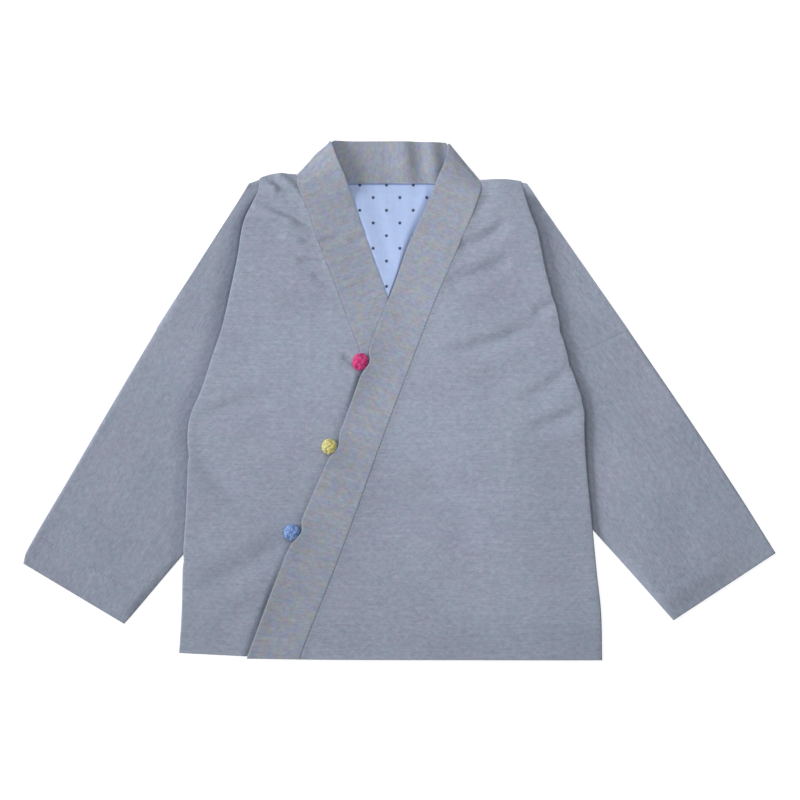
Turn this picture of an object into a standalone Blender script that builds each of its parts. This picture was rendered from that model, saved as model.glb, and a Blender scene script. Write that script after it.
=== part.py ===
"""A child's cross-collar jacket of lined cotton, laid flat with its front up.

The sleeves are folded down and lie behind the body, with a pleat at each side, and the left
front laps over the right. Right and left are the wearer's, so the wearer's right is at -X.
X runs across the garment, Y from the hem to the collar and Z up, and the cloth lies on Z = 0.

Lengths are in millimetres, and MM turns them into metres where a mesh is made.
"""

import math
from bisect import bisect_right
from collections import namedtuple

import bmesh
import bpy

MM = 0.001

# Driving dimensions
GAP = 0.3  # between two pieces that touch
COLLAR_GAP = 0.5  # at the collar seam, where the walls tilt
CLOTH = 1.2  # outer cloth and lining as one wall
BAND = 1.8  # collar band, folded double
LINING = 1.0  # lining where it shows by itself
BODY_LOFT = 1.9  # how far the fronts puff off the back inside their edges
SLEEVE_LOFT = 2.2  # the same for the upper side of a sleeve
LAP = 2.8  # how far the over front is raised by the under front
BUTTON_HEIGHT = 8.4
LOOP_CORD = 1.4

# Layers of cloth at a side edge, as heights of the middle of each wall, from the floor up
LAYER = CLOTH + GAP
ARM_BACK = CLOTH / 2
ARM_FRONT = ARM_BACK + LAYER
PLEAT_FRONT = ARM_FRONT + LAYER
PLEAT_BACK = PLEAT_FRONT + LAYER
BODY_BACK = PLEAT_BACK + LAYER
BODY_FRONT = BODY_BACK + LAYER
TURN_ROOM = (BODY_FRONT - PLEAT_FRONT) / 2 + CLOTH / 2  # from a fold's centre to its outside
SLEEVE_TURN = (ARM_FRONT - ARM_BACK) / 2

# How the cloth eases over what lies beneath it
LEVEL_MARGIN = 13.0  # it stays level this far past the edge below
SLOPE = 36.0  # and comes down over this distance
EDGE_EASE = 30.0  # the loft grows from the edges over this distance
LAP_MARGIN = 12.0
LAP_SLOPE = 32.0
SLEEVE_CLEAR = 12.0  # a sleeve stays flat this far out from under the body
SLEEVE_EASE = 26.0

# Steps of the meshes
FOLD_START = 17.0  # below the shoulder point, where the pleat begins
BEND_SHARE = 0.25  # the sleeve's rows bend up to the shoulder over this share of the way down
TOP_STEPS = 2
PLEAT_ROWS = 11
LOWER_ROWS = 13
FRONT_STEPS = 14
TURN_STEPS = 4
PLEAT_STEPS = 3
ARM_STEPS = 4
SLEEVE_ROWS = 15
SLEEVE_UNDER_STEPS = 6
SLEEVE_OVER_STEPS = 8
BAND_STEPS = 4
LINING_STEPS = 6
LINING_ROWS = 8
BUTTON_RUNGS = 7  # extra rungs of the over band beside each button
BUTTON_REACH = 10.5  # how far up and down from the button they run
RUNG_SPACE = 1.5
BALL_SEGMENTS = 18
BALL_RINGS = 12
RING_STEPS = 8
WELD = 0.01
ROUNDING = 1e-6

EdgeRow = namedtuple("EdgeRow", "y x")
TopRow = namedtuple("TopRow", "x y")
SleeveRow = namedtuple("SleeveRow", "along outer_x outer_y inner_x inner_y")
BandRow = namedtuple("BandRow", "seam_y seam_x free_y free_x")
StandRow = namedtuple("StandRow", "seam_x free_x free_y")
Crease = namedtuple("Crease", "x0 y0 x1 y1 width depth")
Button = namedtuple("Button", "name x y width length colour")
Side = namedtuple("Side", "sign shoulder corner underarm tuck drop edge sleeve creases")
Levels = namedtuple("Levels", "body pleat arm")

FRONT_LEVELS = Levels(BODY_FRONT, PLEAT_FRONT, ARM_FRONT)
BACK_LEVELS = Levels(BODY_BACK, PLEAT_BACK, ARM_BACK)

# The body's side edge from the shoulder point to the hem
RIGHT_EDGE = [
    EdgeRow(177.6, -111.2),
    EdgeRow(167.2, -112.8),
    EdgeRow(159.2, -116.8),
    EdgeRow(147.2, -123.2),
    EdgeRow(136.4, -126.4),
    EdgeRow(116.4, -129.4),
    EdgeRow(91.6, -134.6),
    EdgeRow(58.8, -142.0),
    EdgeRow(34.8, -150.0),
    EdgeRow(10.0, -158.0),
    EdgeRow(-16.4, -168.4),
    EdgeRow(-46.8, -169.2),
    EdgeRow(-87.6, -170.8),
    EdgeRow(-124.4, -173.2),
    EdgeRow(-169.0, -174.4),
    EdgeRow(-202.2, -176.6),
]
LEFT_EDGE = [
    EdgeRow(175.4, 96.7),
    EdgeRow(162.5, 100.2),
    EdgeRow(147.2, 105.4),
    EdgeRow(136.6, 109.6),
    EdgeRow(124.4, 112.2),
    EdgeRow(99.6, 117.4),
    EdgeRow(79.6, 123.6),
    EdgeRow(58.8, 128.2),
    EdgeRow(38.8, 133.2),
    EdgeRow(12.4, 142.0),
    EdgeRow(-2.0, 147.6),
    EdgeRow(-26.8, 148.2),
    EdgeRow(-54.8, 150.0),
    EdgeRow(-87.6, 153.2),
    EdgeRow(-136.4, 157.8),
    EdgeRow(-169.2, 161.4),
    EdgeRow(-208.0, 162.4),
]

# Sleeves from the dropped shoulder seam to the cuff
RIGHT_SLEEVE = [
    SleeveRow(0.00, -194.6, 56.9, -72.0, -10.2),
    SleeveRow(0.31, -228.2, 0.4, -116.7, -60.8),
    SleeveRow(0.65, -265.3, -63.2, -167.9, -117.4),
    SleeveRow(0.96, -299.0, -121.2, -214.2, -171.9),
    SleeveRow(1.00, -301.4, -130.6, -220.6, -178.9),
]
LEFT_SLEEVE = [
    SleeveRow(0.00, 183.7, 56.1, 62.0, -3.6),
    SleeveRow(0.41, 232.6, -15.6, 125.4, -71.4),
    SleeveRow(0.75, 272.9, -76.7, 179.7, -131.4),
    SleeveRow(1.00, 301.4, -122.2, 219.4, -176.2),
]

# Shoulders of the fronts, and shoulders and neck of the back
NECK_SEAM_Y = 174.0
FRONT_TOP = [
    TopRow(-111.2, 177.6),
    TopRow(-104.8, 180.2),
    TopRow(-95.2, 181.6),
    TopRow(-82.0, 180.8),
    TopRow(64.4, 176.4),
    TopRow(76.0, 177.0),
    TopRow(87.0, 176.8),
    TopRow(96.7, 175.4),
]
BACK_TOP = [
    TopRow(-111.2, 177.6),
    TopRow(-104.8, 180.2),
    TopRow(-96.0, 181.2),
    TopRow(-88.0, 180.0),
    TopRow(-80.0, 176.8),
    TopRow(-66.0, 174.6),
    TopRow(-50.0, NECK_SEAM_Y),
    TopRow(50.0, NECK_SEAM_Y),
    TopRow(63.0, 174.4),
    TopRow(72.0, 176.0),
    TopRow(80.0, 177.0),
    TopRow(87.0, 176.8),
    TopRow(96.7, 175.4),
]
HEM = [
    TopRow(-176.6, -202.2),
    TopRow(-122.0, -205.0),
    TopRow(-80.0, -207.2),
    TopRow(61.4, -207.8),
    TopRow(162.4, -208.0),
]

# The collar band's rungs, from its seam to its free edge, from the neck crease to the hem
UNDER_BAND = [
    BandRow(180.8, -82.0, 208.0, -54.8),
    BandRow(172.0, -81.9, 195.0, -50.2),
    BandRow(165.9, -79.3, 181.0, -44.2),
    BandRow(153.3, -73.6, 165.5, -38.8),
    BandRow(138.7, -68.6, 151.0, -34.3),
    BandRow(124.1, -63.5, 137.0, -29.2),
    BandRow(96.9, -53.0, 109.0, -19.2),
    BandRow(54.8, -37.4, 67.6, -3.9),
    BandRow(38.8, -31.2, 51.0, 2.0),
    BandRow(0.4, -17.0, 12.0, 14.4),
    BandRow(-40.4, -1.7, -28.5, 29.7),
    BandRow(-87.4, 14.7, -76.0, 50.6),
    BandRow(-140.4, 35.1, -128.5, 73.4),
    BandRow(-191.4, 55.5, -186.0, 95.3),
    BandRow(-207.8, 61.4, -207.9, 103.0),
]
OVER_BAND = [
    BandRow(176.4, 64.4, 206.4, 39.6),
    BandRow(169.0, 64.9, 192.0, 36.4),
    BandRow(163.2, 63.4, 180.5, 31.4),
    BandRow(149.2, 58.4, 163.5, 25.1),
    BandRow(129.5, 50.0, 145.5, 16.8),
    BandRow(109.2, 41.2, 123.2, 6.6),
    BandRow(81.6, 29.2, 95.9, -3.1),
    BandRow(64.4, 22.4, 77.0, -10.3),
    BandRow(32.4, 10.2, 46.0, -22.7),
    BandRow(0.4, -2.2, 12.0, -33.6),
    BandRow(-40.4, -17.5, -28.5, -48.9),
    BandRow(-87.4, -34.3, -76.0, -69.8),
    BandRow(-140.4, -54.3, -128.5, -92.6),
    BandRow(-191.4, -74.7, -186.0, -114.5),
    BandRow(-207.2, -80.4, -206.4, -122.1),
]
# The same band behind the neck, where it stands up past the back's neckline
STAND = [
    StandRow(-82.0, -54.8, 208.0),
    StandRow(-66.0, -46.0, 207.8),
    StandRow(-50.0, -36.0, 207.6),
    StandRow(-30.0, -22.5, 207.6),
    StandRow(-8.0, -7.6, 207.6),
    StandRow(14.0, 8.0, 207.4),
    StandRow(34.0, 22.5, 207.0),
    StandRow(50.0, 31.0, 206.7),
    StandRow(64.4, 39.6, 206.4),
]
WAVE_START = 0.5  # share of the stand's height by which its waves are full
STAND_WAVES = [
    Crease(-56.0, 176.0, -43.0, 204.0, 7.0, 0.9),
    Crease(-15.0, 178.0, -14.0, 203.0, 6.0, 0.5),
    Crease(12.0, 178.0, 9.0, 203.0, 6.0, 0.7),
    Crease(38.0, 178.0, 31.0, 203.0, 6.0, 0.4),
]
NECK_LIFT = 1.1  # the band clears the back's cloth by this much at the neck crease
NECK_EASE = 14.0
CREASE_UNDER = BAND / 2  # middle of the stand, and of the band folded over it at the neck
CREASE_OVER = CLOTH + NECK_LIFT + BAND / 2
STAND_MARGIN = 5.0  # between a neck crease and the first rung of the stand

# Where the lining shows, it reaches this far under the bands
LINING_UNDERLAP = 10.0
LINING_LOW = 72.0

# The largest folds: a trough runs from one end to the other, and a negative depth is a ridge
UNDER_FOLDS = [
    Crease(-109.0, 177.0, -94.0, 163.6, 7.0, 0.9),
    Crease(-115.6, 154.0, -76.4, 138.8, 7.0, 0.8),
    Crease(-107.6, 84.4, -55.6, 68.4, 11.0, 0.9),
    Crease(-167.6, -19.6, -127.6, 0.4, 9.0, 1.1),
    Crease(-127.6, 0.4, -91.6, 12.4, 10.0, 0.9),
    Crease(-159.6, -43.6, -103.6, -95.6, 12.0, 0.9),
    Crease(-90.8, -103.6, -159.6, -151.6, 14.0, -0.7),
    Crease(-99.6, -115.6, -155.6, -191.6, 11.0, 1.1),
]
OVER_FOLDS = [
    Crease(61.2, 146.8, 74.0, 158.8, 6.0, 0.8),
    Crease(54.0, 126.8, 86.0, 143.6, 7.0, 0.8),
    Crease(47.6, 98.8, 87.6, 114.8, 8.0, 0.8),
    Crease(22.8, 42.8, 72.4, 46.8, 10.0, 0.9),
    Crease(72.4, 46.8, 118.8, 76.4, 10.0, 1.0),
    Crease(92.4, -2.0, 137.2, 26.8, 9.0, 1.1),
    Crease(92.4, -22.0, 142.0, -6.0, 9.0, 0.9),
    Crease(6.8, -55.6, 72.4, -111.6, 14.0, 0.6),
]
RIGHT_SLEEVE_FOLDS = [
    Crease(-176.0, 76.0, -196.0, -40.0, 12.0, 0.7),
    Crease(-250.0, -60.0, -216.0, -120.0, 16.0, 0.5),
]
LEFT_SLEEVE_FOLDS = [
    Crease(166.0, 78.0, 186.0, -30.0, 12.0, 0.7),
    Crease(218.8, -74.8, 232.4, -132.4, 14.0, 0.8),
]

# The body's side edge starts at the shoulder, and the sleeve's outer edge a little further out,
# at the corner
RIGHT = Side(-1, (-111.2, 177.6), (-120.2, 173.2), (-168.4, -16.4), (-70.0, -8.0),
             (-194.4, 57.2), RIGHT_EDGE, RIGHT_SLEEVE, RIGHT_SLEEVE_FOLDS)
LEFT = Side(1, (96.7, 175.4), (102.0, 173.4), (147.6, -2.0), (60.0, -1.4),
            (183.5, 56.4), LEFT_EDGE, LEFT_SLEEVE, LEFT_SLEEVE_FOLDS)

BUTTONS = [
    Button("top", -31.2, 30.8, 12.6, 14.4, (0.58, 0.045, 0.16)),
    Button("middle", -56.0, -36.8, 11.8, 12.4, (0.56, 0.53, 0.21)),
    Button("bottom", -86.0, -105.6, 12.8, 13.0, (0.16, 0.26, 0.58)),
]
STRAND_DEPTH = 0.04  # share of the ball's radius
STRANDS_AROUND = 3
STRAND_TWIST = 4
BUTTON_ROOM = 1.1  # the band's edge bends this far clear of a button
LOOP_SHARE = 0.84  # a loop's size beside its button's
LOOP_END_RISE = 0.5
LOOP_STEPS = 16
BUTTON_TURN = math.radians(-22.0)  # a button's long axis follows the band's edge
LOOP_ENDS = (math.radians(38.0), math.radians(372.0))  # where a loop leaves the band's edge

CLOTH_COLOUR = (0.29, 0.325, 0.405)
LINING_COLOUR = (0.42, 0.52, 0.78)


def mix(a, b, share):
    """A number or a point between a and b."""
    if isinstance(a, tuple):
        return tuple(mix(one, other, share) for one, other in zip(a, b))
    return a + (b - a) * share


def ease(share):
    """Run smoothly from 0 to 1."""
    share = min(max(share, 0.0), 1.0)
    return share * share * (3.0 - 2.0 * share)


def smooth(table, key, column, at):
    """Read a column of a table on a smooth curve through its rows, which are in order of key."""
    knots = [getattr(row, key) for row in table]
    values = [getattr(row, column) for row in table]
    if knots[0] > knots[-1]:
        knots.reverse()
        values.reverse()
    last = len(knots) - 1
    at = min(max(at, knots[0]), knots[last])
    low = min(bisect_right(knots, at) - 1, last - 1)

    def slope(index):
        before = max(index - 1, 0)
        after = min(index + 1, last)
        return (values[after] - values[before]) / (knots[after] - knots[before])

    step = knots[low + 1] - knots[low]
    t = (at - knots[low]) / step
    start = values[low] * (1 + 2 * t) * (1 - t) ** 2 + slope(low) * step * t * (1 - t) ** 2
    end = values[low + 1] * t * t * (3 - 2 * t) + slope(low + 1) * step * t * t * (t - 1)
    return start + end


def read_point(table, key, edge, at):
    """Read the two columns of a table that hold the x and y of an edge."""
    return smooth(table, key, f"{edge}_x", at), smooth(table, key, f"{edge}_y", at)


def distance_to_path(x, y, path):
    """Distance from a point to the nearest of a path's straight stretches."""
    nearest = math.inf
    for (ax, ay), (bx, by) in zip(path, path[1:]):
        dx = bx - ax
        dy = by - ay
        share = ((x - ax) * dx + (y - ay) * dy) / (dx * dx + dy * dy)
        share = min(max(share, 0.0), 1.0)
        nearest = min(nearest, math.hypot(x - ax - share * dx, y - ay - share * dy))
    return nearest


def distance_outside(x, y, outline):
    """How far a point lies outside an outline, or 0 inside it."""
    inside = False
    for (ax, ay), (bx, by) in zip(outline, outline[1:]):
        if (ay > y) != (by > y) and x < ax + (y - ay) / (by - ay) * (bx - ax):
            inside = not inside
    return 0.0 if inside else distance_to_path(x, y, outline)


def sleeve_outline(side):
    """Outline of a sleeve and the upper arm, from the shoulder round the cuff and back."""
    outer = [(row.outer_x, row.outer_y) for row in side.sleeve]
    inner = [(row.inner_x, row.inner_y) for row in reversed(side.sleeve)]
    return [side.shoulder, side.corner] + outer + inner + [side.tuck, side.shoulder]


def pleat_outline(side):
    """Outline of the pleat that is folded in behind a side edge."""
    return [side.shoulder, side.underarm, side.tuck, side.shoulder]


BELOW = [outline(side) for side in (RIGHT, LEFT) for outline in (sleeve_outline, pleat_outline)]


def rise(x, y):
    """Height of the body's underside, over the sleeves and the pleats that lie beneath it."""
    height = 0.0
    for outline in BELOW:
        beyond = distance_outside(x, y, outline) - LEVEL_MARGIN
        height += 2 * LAYER * (1.0 - ease(beyond / SLOPE))
    return height


def settled(x, y):
    """0 at the sides, shoulders and hem, where the layers are sewn together, to 1 inside."""
    from_side = min(x - smooth(RIGHT.edge, "y", "x", y), smooth(LEFT.edge, "y", "x", y) - x)
    from_top = smooth(FRONT_TOP, "x", "y", x) - y
    from_hem = y - smooth(HEM, "x", "y", x)
    return ease(min(from_side, from_top, from_hem) / EDGE_EASE)


def relief(folds, x, y):
    """Depth of the folds at a point."""
    depth = 0.0
    for fold in folds:
        away = distance_to_path(x, y, [(fold.x0, fold.y0), (fold.x1, fold.y1)])
        depth += fold.depth * math.exp(-((away / fold.width) ** 2))
    return depth


def lap_rise(x, y):
    """How far the over front and its band are raised by the under front beneath them."""
    beyond = (x - smooth(UNDER_BAND, "free_y", "free_x", y)) - LAP_MARGIN
    return LAP * (1.0 - ease(beyond / LAP_SLOPE))


def front_height(x, y, over):
    """Height of the middle of a front's wall."""
    loft = settled(x, y)
    folds = OVER_FOLDS if over else UNDER_FOLDS
    height = rise(x, y) + CLOTH + GAP + CLOTH / 2
    height += loft * (BODY_LOFT - relief(folds, x, y))
    if over:
        height += lap_rise(x, y)
    return height


def sleeve_loft(side, x, y):
    """How far the upper side of a sleeve puffs up where it lies clear of the body."""
    clear = side.sign * (x - smooth(side.edge, "y", "x", y)) - SLEEVE_CLEAR
    from_edge = distance_to_path(x, y, sleeve_outline(side))
    share = ease(clear / SLEEVE_EASE) * ease(from_edge / SLEEVE_EASE)
    return share * (SLEEVE_LOFT - relief(side.creases, x, y))


def turn(centre, outward, upper, lower, share):
    """A point on the half circle that joins two layers at a fold, from the upper one down."""
    angle = math.pi * (0.5 - share)
    radius = (upper - lower) / 2
    reach = radius * math.cos(angle)
    height = (upper + lower) / 2 + radius * math.sin(angle)
    return centre[0] + outward[0] * reach, centre[1] + outward[1] * reach, height


def spread(start, end, steps):
    """Evenly spaced values after start, up to and with end."""
    return [mix(start, end, (step + 1) / steps) for step in range(steps)]


def side_share(side, y):
    """How far down its side edge a height lies, from 0 at the shoulder to 1 at the hem."""
    return (side.shoulder[1] - y) / (side.shoulder[1] - side.edge[-1].y)


FOLD_SHARE = side_share(RIGHT, RIGHT.shoulder[1] - FOLD_START)
UNDERARM_SHARE = {side.sign: side_share(side, side.underarm[1]) for side in (RIGHT, LEFT)}
ROWS = (
    [0.0]
    + spread(0.0, FOLD_SHARE, TOP_STEPS)
    + spread(FOLD_SHARE, UNDERARM_SHARE[1], PLEAT_ROWS)
    + [UNDERARM_SHARE[-1]]
    + spread(UNDERARM_SHARE[-1], 1.0, LOWER_ROWS)
)
# The back's columns by their place on its top edge, closest where its neck curves
BACK_COLUMNS = (
    [-111.2, -104.0, -97.0, -90.0, -82.0, -74.0, -66.0, -58.0, -50.0, -36.0, -22.0, -8.0]
    + [6.0, 20.0, 34.0, 42.0, 50.0, 57.0, 63.0, 72.0, 80.0, 88.0, 96.7]
)


def is_folded(side, share):
    """Whether the cloth is folded under at this height of a side edge."""
    return FOLD_SHARE - ROUNDING < share < UNDERARM_SHARE[side.sign] + ROUNDING


def fold_columns(side):
    """Columns of the folded cloth: round the side edge, in, round the tuck, and out."""
    return (
        [(side, "edge", step) for step in spread(0.0, 1.0, TURN_STEPS)]
        + [(side, "pleat", step) for step in spread(0.0, 1.0, PLEAT_STEPS)]
        + [(side, "tuck", step) for step in spread(0.0, 1.0, TURN_STEPS)]
        + [(side, "arm", step) for step in spread(0.0, 1.0, ARM_STEPS)]
    )


def fold_point(side, part, share, down, levels, lofted):
    """A point of the folded cloth at one of its rows, which fan out from the shoulder point."""
    edge_y = mix(side.shoulder[1], side.edge[-1].y, down)
    fan = (side.shoulder[1] - edge_y) / (side.shoulder[1] - side.underarm[1])
    fan_start = FOLD_SHARE / UNDERARM_SHARE[side.sign]
    edge = (smooth(side.edge, "y", "x", edge_y) - side.sign * TURN_ROOM, edge_y)
    tuck = mix(side.shoulder, side.tuck, fan)
    length = math.dist(edge, tuck)
    inward = ((tuck[0] - edge[0]) / length, (tuck[1] - edge[1]) / length)
    tuck = (tuck[0] - inward[0] * TURN_ROOM, tuck[1] - inward[1] * TURN_ROOM)
    if part == "edge":
        return turn(edge, (side.sign, 0.0), levels.body, levels.pleat, share)
    if part == "pleat":
        return mix(edge, tuck, share) + (levels.pleat,)
    if part == "tuck":
        return turn(tuck, inward, levels.pleat, levels.arm, share)
    past_start = (fan - fan_start) / (1.0 - fan_start)
    drop = mix(side.corner, side.drop, past_start)
    bend = mix(side.shoulder, mix(tuck, drop, 0.5), min(0.1 + past_start / BEND_SHARE, 1.0))
    if share < 0.5:
        x, y = mix(tuck, bend, 2 * share)
    else:
        x, y = mix(bend, drop, 2 * share - 1)
    loft = sleeve_loft(side, x, y) if lofted else 0.0
    return x, y, levels.arm + loft


def body_edge(side, y, down):
    """Where the body's own layer ends at a side edge."""
    room = TURN_ROOM if is_folded(side, down) else 0.0
    return smooth(side.edge, "y", "x", y) - side.sign * room


def new_object(name, mesh, collection, material, parent):
    """Link a mesh as an object of the garment."""
    mesh.materials.append(material)
    mesh.shade_smooth()
    piece = bpy.data.objects.new(name, mesh)
    piece.parent = parent
    collection.objects.link(piece)
    return piece


def thicken(piece, wall):
    """Give a sheet its wall, half to each side."""
    solidify = piece.modifiers.new("wall", "SOLIDIFY")
    solidify.thickness = wall * MM
    solidify.offset = 0.0
    solidify.use_even_offset = False


def sheet_mesh(name, columns, rows, place, keep=None, closed=False):
    """A grid whose points lie at place(column, row), with only the faces that keep allows."""
    grid = bmesh.new()
    bmesh.ops.create_grid(grid, x_segments=columns, y_segments=rows, size=1.0)
    index = {
        vert: (round((vert.co.x + 1) / 2 * columns), round((vert.co.y + 1) / 2 * rows))
        for vert in grid.verts
    }
    if keep:
        unwanted = [
            face for face in grid.faces
            if not keep(min(index[v][0] for v in face.verts), min(index[v][1] for v in face.verts))
        ]
        bmesh.ops.delete(grid, geom=unwanted, context="FACES")
    for vert in grid.verts:
        x, y, z = place(*index[vert])
        vert.co = (x * MM, y * MM, z * MM)
    if closed:
        bmesh.ops.remove_doubles(grid, verts=grid.verts, dist=WELD * MM)
    mesh = bpy.data.meshes.new(name)
    grid.to_mesh(mesh)
    grid.free()
    return mesh


def front_sheet(name, side, band, over):
    """A front: its body from the collar seam to the side, and its folded upper sleeve."""
    body = [(side, "body", share) for share in [0.0] + spread(0.0, 1.0, FRONT_STEPS)]
    columns = body + fold_columns(side)
    top_start = smooth(band, "seam_y", "seam_x", band[0].seam_y)
    hem_start = smooth(band, "seam_y", "seam_x", band[-1].seam_y)

    def place(column, row):
        _, part, share = columns[column]
        down = ROWS[row]
        if part != "body":
            return fold_point(side, part, share, down, FRONT_LEVELS, True)
        top = smooth(FRONT_TOP, "x", "y", mix(top_start, side.shoulder[0], share))
        low = smooth(HEM, "x", "y", mix(hem_start, side.edge[-1].x, share))
        y = mix(top, low, down)
        seam = smooth(band, "seam_y", "seam_x", y) + side.sign * COLLAR_GAP
        x = mix(seam, body_edge(side, y, down), share)
        return x, y, front_height(x, y, over)

    def keep(column, row):
        return column < FRONT_STEPS or (is_folded(side, ROWS[row])
                                        and is_folded(side, ROWS[row + 1]))

    return sheet_mesh(name, len(columns) - 1, len(ROWS) - 1, place, keep)


def back_sheet(name):
    """The back: its body, and the folded upper sleeves at both sides."""
    width = BACK_COLUMNS[-1] - BACK_COLUMNS[0]
    body = [(None, "body", (x - BACK_COLUMNS[0]) / width) for x in BACK_COLUMNS]
    columns = fold_columns(RIGHT)[::-1] + body + fold_columns(LEFT)

    def place(column, row):
        side, part, share = columns[column]
        down = ROWS[row]
        if part != "body":
            return fold_point(side, part, share, down, BACK_LEVELS, False)
        top = smooth(BACK_TOP, "x", "y", mix(BACK_COLUMNS[0], BACK_COLUMNS[-1], share))
        low = smooth(HEM, "x", "y", mix(RIGHT.edge[-1].x, LEFT.edge[-1].x, share))
        y = mix(top, low, down)
        x = mix(body_edge(RIGHT, y, down), body_edge(LEFT, y, down), share)
        return x, y, rise(x, y) + CLOTH / 2

    def keep(column, row):
        ends = (columns[column], columns[column + 1])
        sides = [side for side, _, _ in ends if side]
        return all(is_folded(side, ROWS[row]) and is_folded(side, ROWS[row + 1])
                   for side in sides)

    return sheet_mesh(name, len(columns) - 1, len(ROWS) - 1, place, keep)


def sleeve_sheet(name, side):
    """A lower sleeve: a flattened tube from the dropped shoulder seam to the cuff."""
    around = (
        [("under", share) for share in [0.0] + spread(0.0, 1.0, SLEEVE_UNDER_STEPS)]
        + [("inner turn", share) for share in spread(0.0, 1.0, TURN_STEPS)]
        + [("over", share) for share in spread(0.0, 1.0, SLEEVE_OVER_STEPS)]
        + [("outer turn", share) for share in spread(0.0, 1.0, TURN_STEPS)]
    )
    room = SLEEVE_TURN + CLOTH / 2

    def place(column, row):
        part, share = around[column]
        along = row / SLEEVE_ROWS
        outer = read_point(side.sleeve, "along", "outer", along)
        inner = read_point(side.sleeve, "along", "inner", along)
        width = math.dist(outer, inner)
        across = ((inner[0] - outer[0]) / width, (inner[1] - outer[1]) / width)
        start = (outer[0] + across[0] * room, outer[1] + across[1] * room)
        end = (inner[0] - across[0] * room, inner[1] - across[1] * room)
        if part == "under":
            return mix(start, end, share) + (ARM_BACK,)
        if part == "inner turn":
            return turn(end, across, ARM_FRONT, ARM_BACK, 1.0 - share)
        if part == "outer turn":
            return turn(start, (-across[0], -across[1]), ARM_FRONT, ARM_BACK, share)
        x, y = mix(end, start, share)
        return x, y, ARM_FRONT + sleeve_loft(side, x, y)

    return sheet_mesh(name, len(around) - 1, SLEEVE_ROWS, place, closed=True)


def band_stations(side, band, over):
    """Seam heights of a band's rungs: at the rows of its front, and close by each button."""
    rows = [mix(band[0].seam_y, band[-1].seam_y, down) for down in ROWS[1:]]
    if over:
        for button in BUTTONS:
            for step in spread(-BUTTON_REACH, BUTTON_REACH, BUTTON_RUNGS):
                seam_y = smooth(band, "free_y", "seam_y", button.y + step)
                if min(abs(seam_y - row) for row in rows) > RUNG_SPACE:
                    rows.append(seam_y)
    return sorted(rows, reverse=True)


def clear_of_buttons(x, y):
    """Move a point of the band's edge off the buttons."""
    for button in BUTTONS:
        room = button.width / 2 + BUTTON_ROOM
        away = math.dist((x, y), (button.x, button.y))
        if away < room:
            x = button.x + (x - button.x) * room / away
            y = button.y + (y - button.y) * room / away
    return x, y


def band_rung(band, over, seam_y):
    """The points across a band at one height of its seam."""
    seam = (smooth(band, "seam_y", "seam_x", seam_y), seam_y)
    free = read_point(band, "seam_y", "free", seam_y)
    if over:
        free = clear_of_buttons(*free)
    rung = []
    for share in [0.0] + spread(0.0, 1.0, BAND_STEPS):
        x, y = mix(seam, free, share)
        if seam_y > 0.0:
            lift = mix(NECK_LIFT, GAP + BODY_LOFT, ease((band[0].seam_y - seam_y) / NECK_EASE))
        else:
            lift = GAP + BODY_LOFT * settled(x, y)
        height = rise(x, y) + CLOTH + lift + BAND / 2
        if over:
            height += lap_rise(x, y)
        rung.append((x, y, height))
    return rung


def crease_rungs(band, outward):
    """The rungs round a neck crease, from the stand below to the band on top."""
    radius = (CREASE_OVER - CREASE_UNDER) / 2
    room = radius + BAND / 2
    seam = (band[0].seam_x - outward[0] * room, band[0].seam_y - outward[1] * room)
    free = (band[0].free_x - outward[0] * room, band[0].free_y - outward[1] * room)
    rungs = []
    for around in [0.0] + spread(0.0, 1.0, TURN_STEPS):
        rung = []
        for share in [0.0] + spread(0.0, 1.0, BAND_STEPS):
            x, y = mix(seam, free, share)
            turned = turn((x, y), outward, CREASE_OVER, CREASE_UNDER, 1.0 - around)
            rung.append((turned[0], turned[1], turned[2] + rise(x, y)))
        rungs.append(rung)
    return rungs


def stand_rung(seam_x):
    """The points across the band behind the neck, from the back's neckline up."""
    seam = (seam_x, smooth(BACK_TOP, "x", "y", seam_x) + GAP)
    free = read_point(STAND, "seam_x", "free", seam_x)
    rung = []
    for share in [0.0] + spread(0.0, 1.0, BAND_STEPS):
        x, y = mix(seam, free, share)
        wave = relief(STAND_WAVES, x, y) * ease(share / WAVE_START)
        rung.append((x, y, rise(x, y) + BAND / 2 + wave))
    return rung


def crease_outward(band):
    """Direction in plan that faces out from a band's neck crease."""
    along = (band[0].free_x - band[0].seam_x, band[0].free_y - band[0].seam_y)
    length = math.hypot(*along)
    if band[0].seam_x < 0:
        return -along[1] / length, along[0] / length
    return along[1] / length, -along[0] / length


def collar_sheet(name):
    """The collar band: up the under front, behind the neck, and down the over front."""
    rungs = [band_rung(UNDER_BAND, False, y) for y in band_stations(RIGHT, UNDER_BAND, False)[::-1]]
    rungs += crease_rungs(UNDER_BAND, crease_outward(UNDER_BAND))[::-1]
    start = STAND[0].seam_x + STAND_MARGIN
    end = STAND[-1].seam_x - STAND_MARGIN
    stand = [x for x in BACK_COLUMNS if start < x < end]
    rungs += [stand_rung(x) for x in stand]
    rungs += crease_rungs(OVER_BAND, crease_outward(OVER_BAND))
    rungs += [band_rung(OVER_BAND, True, y) for y in band_stations(LEFT, OVER_BAND, True)]
    return sheet_mesh(name, BAND_STEPS, len(rungs) - 1, lambda column, row: rungs[row][column])


def lining_sheet(name):
    """The back's lining in the neck opening, with its edges under the bands."""

    def place(column, row):
        y = mix(NECK_SEAM_Y, LINING_LOW, row / LINING_ROWS)
        start = smooth(UNDER_BAND, "free_y", "free_x", y) - LINING_UNDERLAP
        end = smooth(OVER_BAND, "free_y", "free_x", y) + LINING_UNDERLAP
        x = mix(start, end, column / LINING_STEPS)
        return x, y, rise(x, y) + CLOTH + GAP + LINING / 2

    return sheet_mesh(name, LINING_STEPS, LINING_ROWS, place)


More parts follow.
